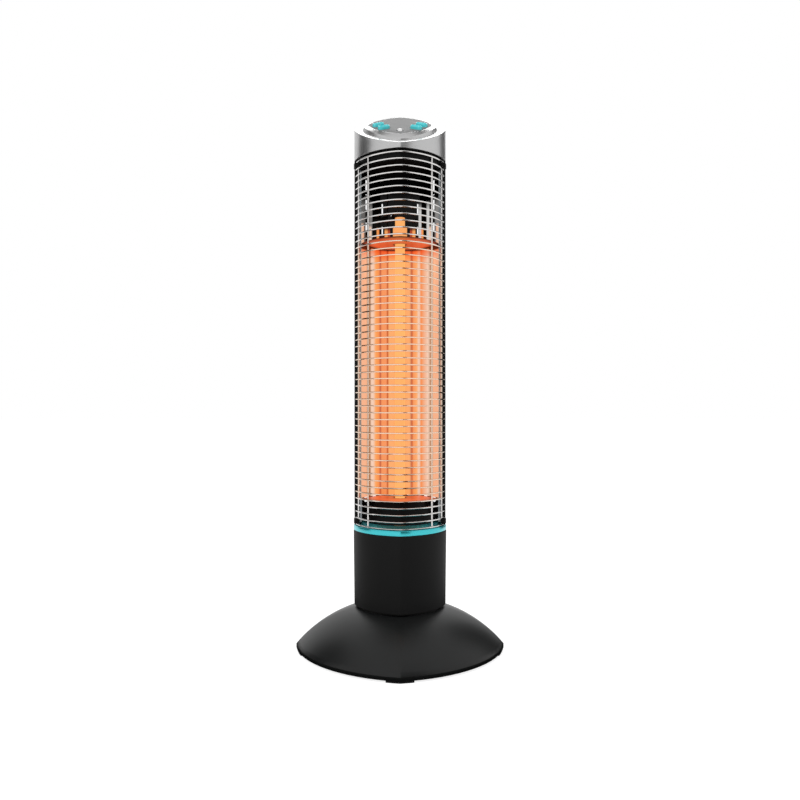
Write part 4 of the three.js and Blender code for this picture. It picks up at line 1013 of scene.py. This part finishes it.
wires = []
ring_path = bend(RING_INSET, GUARD_END)
for i in range(RINGS):
    z = FIRST_RING + (LAST_RING - FIRST_RING) * i / (RINGS - 1)
    wires.append(sweep([Vector((*p, z)) for p in ring_path], RING_RADIUS, Vector((0, 0, 1))))
FRONT_POST_X, CORNER_POST_Y, WELD = 47.3, 12.0, 0.5
upright_inset = RING_INSET + RING_RADIUS + UPRIGHT_RADIUS - WELD
uprights = [
    (FRONT_POST_X, -half_width(upright_inset, FRONT_POST_X)),
    (half_width(upright_inset, CORNER_POST_Y), -CORNER_POST_Y),
]
for x, y in uprights:
    for side in (-1, 1):
        path = [Vector((side * x, y, z)) for z in (FIRST_RING, LAST_RING)]
        wires.append(sweep(path, UPRIGHT_RADIUS, Vector((0, 1, 0)), 12))
guard = skins("wire_guard", wires)
dress(guard, finishes["chrome_plated_wire"], "tower", "chrome_wire", "front_guard")
print("guard faces:", len(guard.data.polygons))

# %% [markdown]
# ## Guard clips
# Four black blocks at the corner posts hold the guard, between two rings at its foot and two at its
# head. They stand a little outside the posts, and show there as small steps.

# %% Guard clips
CLIP = [
    (70.6, -4.7), (70.3, -9), (68.5, -15.5), (61.6, -15.5), (63.3, -8.5), (64.5, -6.2),
    (64.5, -4.7),
]
for row, low in (("lower", 194.4), ("upper", 734.4)):
    for side, hand in ((-1, "left"), (1, "right")):
        outline = [(side * x, y) for x, y in CLIP]
        clip = skin(f"clip_{row}_{hand}", [level(outline, low), level(outline, low + 7.2)])
        x, y = uprights[1]
        groove = circle(UPRIGHT_RADIUS + 0.35, 24, side * x, y)
        cut(clip, skin("groove", [level(groove, low - 1), level(groove, low + 9)]))
        break_edges(clip, 0.5)
        node = f"guard_clip_{row}_{hand}"
        dress(clip, finishes["inner_black_abs"], "tower", "black_abs", node)

# %% [markdown]
# ## Covers inside the guard
# Above and below the trough, black covers close the space behind the wires. The upper one is a lid
# under a plain collar, and the lower one climbs in steps to the lower bright plate.

# %% Upper collar and lid
COLLAR_INSET, LID_LOW, LID_TOP = 5.7, 733.0, 735.0
section = [
    (COLLAR_INSET, 735.3), (COLLAR_INSET, 748.3), (3, 748.3), (3, 752), (8.2, 752), (8.2, 735.3),
]
collar = casing("plain_collar", ease(section, 0.5))
dress(collar, finishes["inner_black_abs"], "tower", "black_abs", "upper_collar")

rib = COLLAR_INSET + 1.5
section = [
    (rib + 2, LID_LOW), (rib + 2, LID_LOW - 1.2), (rib, LID_LOW - 1.2), (rib, LID_LOW),
    (COLLAR_INSET, LID_LOW), (COLLAR_INSET, LID_TOP),
]
eased = ease([(rib + 6, LID_LOW), *section, (rib + 6, LID_TOP)], 0.3, closed=False)
lid = skin("trough_lid", [level(plan(inset=inset), z) for inset, z in eased])
notches = []
for side in (-1, 1):
    outline = [(side * 57.3, -9), (side * 64.9, -9), (side * 64.9, 9), (side * 57.3, 9)]
    notches.append([level(outline, z) for z in (730, LID_LOW)])
cut(lid, skins("rail_notches", notches))
hole = circle(4.3, 24, 20, 45.5)
cut(lid, skin("lead_hole", [level(hole, z) for z in (730, 737)]))
dress(lid, finishes["inner_black_abs"], "tower", "black_abs", "upper_inner_cover")

# %% Lower stepped cover
COVER_FOOT, COVER_HEAD = (57.0, 197.3), (38.0, 230.7)
rise, tread = (COVER_HEAD[1] - COVER_FOOT[1]) / 3, (COVER_FOOT[0] - COVER_HEAD[0]) / 3
steps_out, steps_in = [], []
for i in range(3):
    corner, z = COVER_FOOT[0] - tread * i, COVER_FOOT[1] + rise * i
    steps_out += [(corner, z), (corner - tread / 3, z + rise)]
    steps_in += [(corner - 2, z - (2 if i else 0)), (corner - tread / 3 - 2, z + rise - 2)]
steps_out = ease(steps_out, 0.6, closed=False)
loops = [level(plan(corner), z) for corner, z in steps_in[::-1] + steps_out]
stepped = skin("stepped_cover", loops)
hole = circle(9.1, 32)
cut(stepped, skin("tube_hole", [level(hole, 190), level(hole, 240)]))
notches = []
for x in (-20, 20):
    outline = [(x - 5.8, 33.5), (x + 5.8, 33.5), (x + 5.8, 65.5), (x - 5.8, 65.5)]
    notches.append([level(outline, z) for z in (190, 240)])
cut(stepped, skins("lead_notches", notches))
dress(stepped, finishes["inner_black_abs"], "tower", "black_abs", "lower_inner_cover")

# %% [markdown]
# ## Trough
# The reflector is one sheet 0.8 mm thick, folded along eight lines. A folded sheet has no sharp
# edges, so each fold is eased. Narrow slots let hot air out near its top.

# %% Trough
FOLDS = ((58.4, -8), (49, 8), (42, 20), (31.5, 32), (19.3, 38))
TROUGH_LOW, TROUGH_TOP, SHEET = 233.0, 732.7, 0.8


def beside(line, distance):
    """An open line of 2D points moved sideways by a distance."""
    moved = []
    for i, p in enumerate(line):
        before, after = p - line[max(i - 1, 0)], line[min(i + 1, len(line) - 1)] - p
        before, after = before if before.length else after, after if after.length else before
        normals = [Vector((d.y, -d.x)).normalized() for d in (before, after)]
        middle = (normals[0] + normals[1]).normalized()
        moved.append(p + middle * distance / middle.dot(normals[0]))
    return moved


face = [Vector(p) for p in FOLDS] + [Vector((-x, y)) for x, y in reversed(FOLDS)]
outline = ease(beside(face, SHEET) + face[::-1], 2.0, 4)
trough = skin("folded_trough", [level(outline, TROUGH_LOW), level(outline, TROUGH_TOP)])
INNER_ROWS = ((641, 655), (663, 665), (674.5, 691))
OUTER_ROWS = (*INNER_ROWS, (696.5, 698.5), (704.5, 722))
openings = []
for x, front, back, rows in ((27.95, 20, 45, INNER_ROWS), (51.95, -6, 12, OUTER_ROWS)):
    for low, high in rows:
        pill = ease([(-1, low), (1, low), (1, high), (-1, high)], 0.9, 4)
        for side in (-1, 1):
            openings.append([[(side * x + p.x, y, p.y) for p in pill] for y in (front, back)])
lead_hole = circle(2.5, 24, -12, 673)
openings.append([[(x, y, z) for x, z in lead_hole] for y in (30, 45)])
cut(trough, skins("openings", openings))
dress(trough, finishes["bright_anodised_aluminium"], "tower", "bright_aluminium", "reflector")
print("trough faces:", len(trough.data.polygons))

# %% [markdown]
# ## Heating tube
# The tube is a plain quartz pipe with a ceramic cap in each end. A ribbon of carbon is stretched
# between the caps and twisted four half turns. A ceramic collar stands where the tube passes the
# upper plate. These are turned pieces, apart from the ribbon, which is skinned from its corners.

# %% Tube, caps, collar and ribbon
TUBE_RADIUS, TUBE_BORE, TUBE_LOW, TUBE_HIGH = 7.5, 6.3, 206.3, 656.0
pipe = [(TUBE_BORE, TUBE_LOW), (TUBE_RADIUS, TUBE_LOW)]
pipe += [(TUBE_RADIUS, TUBE_HIGH), (TUBE_BORE, TUBE_HIGH)]
tube = lathe("quartz_tube", ease(pipe, 0.4), 48, True)
dress(tube, finishes["lit_quartz"], "tower", "quartz", "heating_tube")

cap_low = [(9, 199.3), (9, 206), (6, 206), (6, 212.3)]
lower_cap = lathe("lower_cap", ease(cap_low, 0.4, closed=False), 48)
dress(lower_cap, finishes["lit_ceramic"], "tower", "ceramic", "end_cap_lower")
cap_high = [(6, 650), (6, 656.3), (7.5, 656.3), (7.5, 661)]
upper_cap = lathe("upper_cap", ease(cap_high, 0.4, closed=False), 48)
dress(upper_cap, finishes["lit_ceramic"], "tower", "ceramic", "end_cap_upper")
sleeve = ease([(7.8, 621.5), (10.8, 621.5), (10.8, 646.5), (7.8, 646.5)], 0.6)
tube_collar = lathe("ceramic_collar", sleeve, 48, True)
dress(tube_collar, finishes["lit_ceramic"], "tower", "ceramic", "tube_collar")

RIBBON_LOW, RIBBON_HIGH, HALF_TURNS, STEPS = 212.6, 649.7, 4, 96
RIBBON_WIDTH, RIBBON_DEPTH = 9.0, 1.0
corners = ((-0.5, -0.5), (0.5, -0.5), (0.5, 0.5), (-0.5, 0.5))
strip = [Vector((RIBBON_WIDTH * a, RIBBON_DEPTH * b)) for a, b in corners]
loops = []
for i in range(STEPS + 1):
    spin = Matrix.Rotation(math.pi * HALF_TURNS * i / STEPS, 2)
    z = RIBBON_LOW + (RIBBON_HIGH - RIBBON_LOW) * i / STEPS
    loops.append([(*(spin @ corner), z) for corner in strip])
ribbon = skin("carbon_ribbon", loops)
dress(ribbon, finishes["hot_carbon"], "tower", "carbon", "carbon_filament")

# %% [markdown]
# ## Head
# The head is cut at a slant: a flat rim, a groove, and a bevel that rises to the grey panel. Each
# point of its section has a rise above a slanted plane, so the rim slopes to the front while the
# skirt's lower edge stays level. The groove's inner wall grows taller towards the sides.

# %% Head shell
SLOPE, HEAD_MIDDLE, HEAD_LOW = math.radians(30.5), 796.5, 748.0


def slanted(rise):
    return lambda p: HEAD_MIDDLE + math.tan(SLOPE) * p[1] + rise


RIM, GROOVE, BEVEL, BEVEL_RISE, PANEL = 11.0, 2.2, 5.8, 7.2, 2.2
GROOVE_FLOOR, WALL_TOP = -2.2, 1.5
WALL_GROWTH, GROWTH_START, GROWTH_LENGTH = 3.2, 12.0, 30.0
bevel_in = RIM + GROOVE + BEVEL
recess = PANEL / math.cos(SLOPE) + 0.3
top = [
    (0, -6), (0, 0), (RIM - 0.15, -0.4), (RIM, GROOVE_FLOOR), (RIM + GROOVE - 0.3, GROOVE_FLOOR),
    (RIM + GROOVE, WALL_TOP), (bevel_in, BEVEL_RISE), (bevel_in + 0.8, BEVEL_RISE),
    (bevel_in + 0.8, BEVEL_RISE - recess), (bevel_in + 2.3, BEVEL_RISE - recess),
    (bevel_in + 2.3, BEVEL_RISE - recess - 2), (RIM + GROOVE + 2.4, BEVEL_RISE - recess - 2),
    (RIM + GROOVE + 1.4, -4.6), (RIM - 2.5, -4.6), (RIM - 3.5, -3), (2.7, -3), (2.7, -6),
]


def wall_rise(inset, rise):
    """The height rule of a point of the section, with the wall's growth added where it applies."""
    if inset < RIM + GROOVE - 0.5 or not GROOVE_FLOOR < rise < BEVEL_RISE:
        return slanted(rise)
    if rise < WALL_TOP:
        share = (rise - GROOVE_FLOOR) / (WALL_TOP - GROOVE_FLOOR)
    else:
        share = (BEVEL_RISE - rise) / (BEVEL_RISE - WALL_TOP)

    def height(p):
        sideways = min(1, max(0, (abs(p[0]) - GROWTH_START) / GROWTH_LENGTH))
        return slanted(rise)(p) + share * WALL_GROWTH * sideways

    return height


eased = ease(top, 0.45, closed=False)
crest = max(i for i, point in enumerate(eased) if point.y > BEVEL_RISE - 0.1)
loops = [level(plan(inset=i, nose=1.2), wall_rise(i, rise)) for i, rise in eased[:crest]]
loops += [level(plan(inset=i, nose=1.2), slanted(rise)) for i, rise in eased[crest:]]
foot = [(2.7, HEAD_LOW), (0.4, HEAD_LOW), (0.1, HEAD_LOW + 0.2), (0, HEAD_LOW + 0.6)]
loops += [level(plan(inset=i, nose=1.2), z) for i, z in foot]
head = skin("silver_head", loops, True)
dress(head, finishes["silver_flake_paint"], "tower", "silver_paint", "head_shell")

# %% [markdown]
# ## Control panel
# A flat grey plate lies in the head's recess. Four pill-shaped holes let the buttons through and a
# round one the window. Everything on it is drawn in the panel's own frame: X to the right, Y up the
# slope, and Z out of its face.

# %% Control panel
panel_middle = Matrix.Translation((0, 0, (HEAD_MIDDLE + BEVEL_RISE) * MM))
panel_frame = panel_middle @ Matrix.Rotation(SLOPE, 4, "X")
BUTTONS = {
    "power": ((-33, -7.5), 38),
    "heat": ((-24.5, -25), 38),
    "swing": ((33, -7.5), -38),
    "timer": ((24.5, -25), -38),
}
PILL_LENGTH, PILL_WIDTH = 20.5, 9.0
WINDOW, WINDOW_RADIUS, CLEARANCE = (0, -37), 5.1, 0.2


def pill_loop(grow, z, steps=14):
    """A pill's outline, long along X, grown on all sides."""
    r, reach = PILL_WIDTH / 2 + grow, (PILL_LENGTH - PILL_WIDTH) / 2
    points = []
    for side in (-1, 1):
        for i in range(steps + 1):
            a = side * math.pi / 2 + math.pi * i / steps - math.pi
            points.append(Vector((side * reach + r * math.cos(a), r * math.sin(a), z)))
    return points


def on_panel(loop, spot, turn=0):
    """Turns a loop about its own middle and sets it at a spot of the panel, still flat."""
    spin = Matrix.Rotation(math.radians(turn), 3, "Z")
    return [spin @ Vector(p) + Vector((*spot, 0)) for p in loop]


PANEL_INSET, PANEL_BREAK = 20.1, 0.3
section = [
    (PANEL_INSET, BEVEL_RISE - PANEL / math.cos(SLOPE)), (PANEL_INSET, BEVEL_RISE - PANEL_BREAK),
    (PANEL_INSET + PANEL_BREAK, BEVEL_RISE),
]
panel = skin("grey_panel", [level(plan(inset=i), slanted(rise)) for i, rise in section])
holes = [
    [on_panel(pill_loop(0.3, z), spot, turn) for z in (-10, 5)] for spot, turn in BUTTONS.values()
]
window_hole = circle(WINDOW_RADIUS + CLEARANCE, 32, *WINDOW)
for shapes in (holes, [[level(window_hole, z) for z in (-10, 5)]]):
    cutter = skins("holes", shapes)
    cutter.data.transform(panel_frame)
    cut(panel, cutter)
dress(panel, finishes["grey_panel_abs"], "tower", "panel_grey", "control_panel")

# %% [markdown]
# ## Buttons
# Each button is a teal pill that stands almost 5 mm out of the panel. Its top is dished for a
# fingertip, so loops of the pill shrink and then sink. Each one rides on its own key.

# %% Buttons
PROFILE = [
    (0.8, -3.7), (0.8, -2.5), (0, -2.5), (0, 2.6), (-0.2, 3.6), (-0.6, 4.3), (-1.1, 4.7),
    (-1.5, 4.75), (-1.8, 4.4), (-2.3, 3.6), (-3.0, 2.9), (-4.1, 2.6),
]
for name, (spot, turn) in BUTTONS.items():
    button = skin("pill_" + name, [on_panel(pill_loop(g, z), spot, turn) for g, z in PROFILE])
    button.data.transform(panel_frame)
    dress(button, finishes["teal_button_abs"], name + "_key", "teal_plastic", "button_" + name)

# %% [markdown]
# ## Remote control window
# A small dome at the front of the panel covers the receiver: a turned piece 10.2 mm wide with a
# collar below the panel.

# %% Window
DOME_RISE = 2.6
profile = [(2, -11.7), (2, -3.5), (5.4, -3.5), (5.4, -2.5), (WINDOW_RADIUS, -2.5)]
for i in range(9):
    a = math.radians(10 * i)
    profile.append((WINDOW_RADIUS * math.cos(a), DOME_RISE * math.sin(a)))
window = lathe("receiver_window", profile, 32)
window.data.transform(panel_frame @ Matrix.Translation((WINDOW[0] * MM, WINDOW[1] * MM, 0)))
dress(window, finishes["smoked_polycarbonate"], "tower", "clear_lens", "receiver_lens")

# %% [markdown]
# ## Screws
# Six pan-head screws show: two on the back of the housing and four under the base. The head is
# turned, and a cross recess is cut in it.

# %% Screws
PAN_HEAD = [(0.6, -1.9), (2.2, -1.9), (3.2, -1.75), (3.8, -1.3), (4, -0.6), (4, 0)]
SHANK_RADIUS = 1.5
FIXING_CIRCLE, FIXING_SEAT = 121.0, 3.2  # how far the base screws are from the axis and the floor
SEAT_GAP = 0.3  # how far the housing screws' heads stand off the wall


def screw(name, length, place, body, node):
    """A screw whose head's underside is at the origin and whose shank points up Z."""
    shank = [(SHANK_RADIUS, 0), (SHANK_RADIUS, length - 0.5), (SHANK_RADIUS - 0.5, length)]
    made = lathe(name, PAN_HEAD + shank, 32)
    bars = [[(-2.3, -0.45), (2.3, -0.45), (2.3, 0.45), (-2.3, 0.45)]]
    bars.append([(y, x) for x, y in bars[0]][::-1])
    for bar in bars:
        cut(made, skin("recess", [level(bar, z) for z in (-3, -0.9)]))
    made.data.transform(place)
    dress(made, finishes["zinc_plated_steel"], body, "zinc_steel", node)


for i in range(4):
    a = math.radians(45 + 90 * i)
    spot = Vector((FIXING_CIRCLE * math.cos(a), FIXING_CIRCLE * math.sin(a), FIXING_SEAT)) * MM
    screw(f"base_fixing_{i + 1}", 17, Matrix.Translation(spot), "base", f"base_screw_{i + 1}")
radius, centre = side_arc(TOWER, TOWER_BREAK)
seat = radius - centre * math.sqrt(2) + SEAT_GAP
for (turn, z), hand in zip(screw_spots, ("right", "left")):
    outside = Matrix.Rotation(turn, 4, "Z") @ Matrix.Translation(Vector((seat, 0, z)) * MM)
    inward = outside @ Matrix.Rotation(math.radians(-90), 4, "Y")
    screw("housing_fixing_" + hand, 9, inward, "tower", "housing_screw_" + hand)

# %% [markdown]
# ## Inner parts
# What is left of the CAD model needs no new shape: the plates across the trough, the rails, and the
# parts inside. Each one only takes its finish.

# %% Finishes of the CAD pieces that stay
KEPT = {
    "painted_glow_aluminium": ("lower_shield", "upper_shield"),
    "zinc_plated_steel": (
        "side_rail_left", "side_rail_right", "base_plate", "tube_bracket", "swivel_retainer",
        "oscillation_motor", "thermal_cutout",
    ),
    "cast_iron": ("ballast_plate",),
    "natural_acetal": ("terminal_block", "swivel_gear", "drive_pinion", "tip_plunger"),
    # The swivel washer is black so that it shows as painted shade in the gap under the column.
    "painted_shade_acetal": ("swivel_washer",),
    "pvc_sheath": ("supply_lead", "panel_harness", "tube_lead_lower", "tube_lead_upper"),
    "inner_black_abs": ("turntable", "tip_switch"),
    "solder_masked_board": ("power_board", "control_board"),
}
for finish_name, names in KEPT.items():
    for name in names:
        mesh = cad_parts[name].data
        mesh.materials.clear()
        mesh.materials.append(finishes[finish_name])
shown = [n for n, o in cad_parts.items() if not o.hide_render]
bare = set(shown) - set(sum(KEPT.values(), ()))
print("CAD pieces still shown:", len(shown), "without a finish:", bare)

# %% [markdown]
# ## Floor
# The heater stands on a pale floor that runs into a white background. The floor is a plain plane.
# Seen by the camera, or in something glossy, it adds some white of its own, so it looks as white as
# a studio sweep and still keeps a soft shadow.

# %% Floor
def seen_directly(tree):
    """1 for what the camera or a glossy surface looks at, and 0 where it only lights matt ones."""
    ray = add(tree, "LightPath").outputs
    seen = add(
        tree,
        "Math",
        links={0: ray["Is Camera Ray"], 1: ray["Is Glossy Ray"]},
        operation="MAXIMUM",
    )
    return seen.outputs[0]


bpy.ops.mesh.primitive_plane_add(size=40)
floor = bpy.context.object
floor.name = "studio_floor"
floor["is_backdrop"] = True
material, tree, _ = begin("pale_floor")
strength = add(tree, "Math", {1: 0.8}, {0: seen_directly(tree)}, operation="MULTIPLY")
white = add(tree, "Emission", {"Color": (1, 1, 1, 1)}, {"Strength": strength.outputs[0]})
paper = add(tree, "BsdfDiffuse", {"Color": (0.45, 0.45, 0.45, 1)})
both = add(tree, "AddShader", links={0: white.outputs[0], 1: paper.outputs[0]})
end(tree, both)
floor.data.materials.append(material)

# %% [markdown]
# ## World and lamps
# The room is white where the camera or a glossy surface looks at it. For matt surfaces it gives an
# even, moderate light. A large soft lamp from the upper left and a weaker one from the right model
# the shapes. The one above and behind stands where the slanted rim mirrors it. It is the only one
# that shows in glossy things, which would get hard white squares from the others.

# %% World
world = bpy.data.worlds.new("studio")
scene.world = world
world.use_nodes = True
tree = world.node_tree
tree.nodes.clear()
strength = add(tree, "MapRange", {"To Min": 0.5, "To Max": 1.0}, {"Value": seen_directly(tree)})
sky = add(tree, "Background", {"Color": (1, 1, 1, 1)}, {"Strength": strength.outputs[0]})
add(tree, "OutputWorld", links={"Surface": sky.outputs[0]})

# %% Lamps
for name, spot, size, power in (
    # name, place and size in metres, and power in watts
    ("key", (-1.3, -1.9, 1.7), 1.2, 28),
    ("fill", (1.7, -1.6, 1.0), 1.0, 12),
    ("rim", (0.0, 1.25, 1.85), 1.0, 14),
):
    lamp = bpy.data.objects.new(name + "_lamp", bpy.data.lights.new(name + "_lamp", "AREA"))
    lamp.data.size = size
    lamp.data.energy = power
    lamp.location = spot
    aim = Vector((0, 0, 0.4)) - lamp.location
    lamp.rotation_euler = aim.to_track_quat("-Z", "Y").to_euler()
    lamp.visible_glossy = name == "rim"
    scene.collection.objects.link(lamp)

# %% [markdown]
# ## Dark flags
# Glossy things need something dark to reflect, or they look like plaster. Photographers stand black
# cards, called flags, beside them. These only show in reflections: a low one at the right front and
# a narrow one above it for the head, one at each side a little behind the heater, one overhead, and
# one flat round the base. The two in front make the facets right of the front crease darker.

# %% Flags
material, tree, place = begin("black_card")
weave = add(tree, "TexNoise", {"Scale": 40.0}, {"Vector": place})
rough = add(tree, "MapRange", {"To Min": 0.8, "To Max": 0.95}, {"Value": weave.outputs["Fac"]})
shader = add(
    tree,
    "BsdfPrincipled",
    {"Base Color": colour("#101010"), "Specular IOR Level": 0.0},
    {"Roughness": rough.outputs[0]},
)
end(tree, shader)
FLAGS = (
    # name, middle in metres, width and height in metres, turn about Z in degrees, upright or not
    ("low_flag", (0.56, -1.06, 0.38), (0.6, 0.76), 28, True),
    ("left_flag", (-1.45, 0.39, 0.8), (1.0, 1.6), 75, True),
    ("right_flag", (1.08, 1.0, 0.8), (0.7, 1.6), -47, True),
    ("head_flag", (0.59, -1.03, 1.3), (0.42, 1.0), 30, True),
    ("ceiling_flag", (0.0, 0.8, 2.4), (1.6, 1.2), 0, False),
    ("floor_flag", (0.0, 0.0, 0.0008), (0.7, 0.7), 0, False),
)
for name, middle, (width, height), turn, upright in FLAGS:
    bpy.ops.mesh.primitive_plane_add(size=1, location=middle)
    flag = bpy.context.object
    flag.name = name
    flag.scale = (width, height, 1)
    flag.rotation_euler = (math.radians(90 if upright else 0), 0, math.radians(turn))
    flag.visible_camera = flag.visible_diffuse = flag.visible_shadow = False
    flag.data.materials.append(material)
    flag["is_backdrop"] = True

# %% Finish
scene.view_settings.view_transform = "Standard"
low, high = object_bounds()
print("visual box in mm:", [round(v * 1000, 1) for v in (*low, *high)])
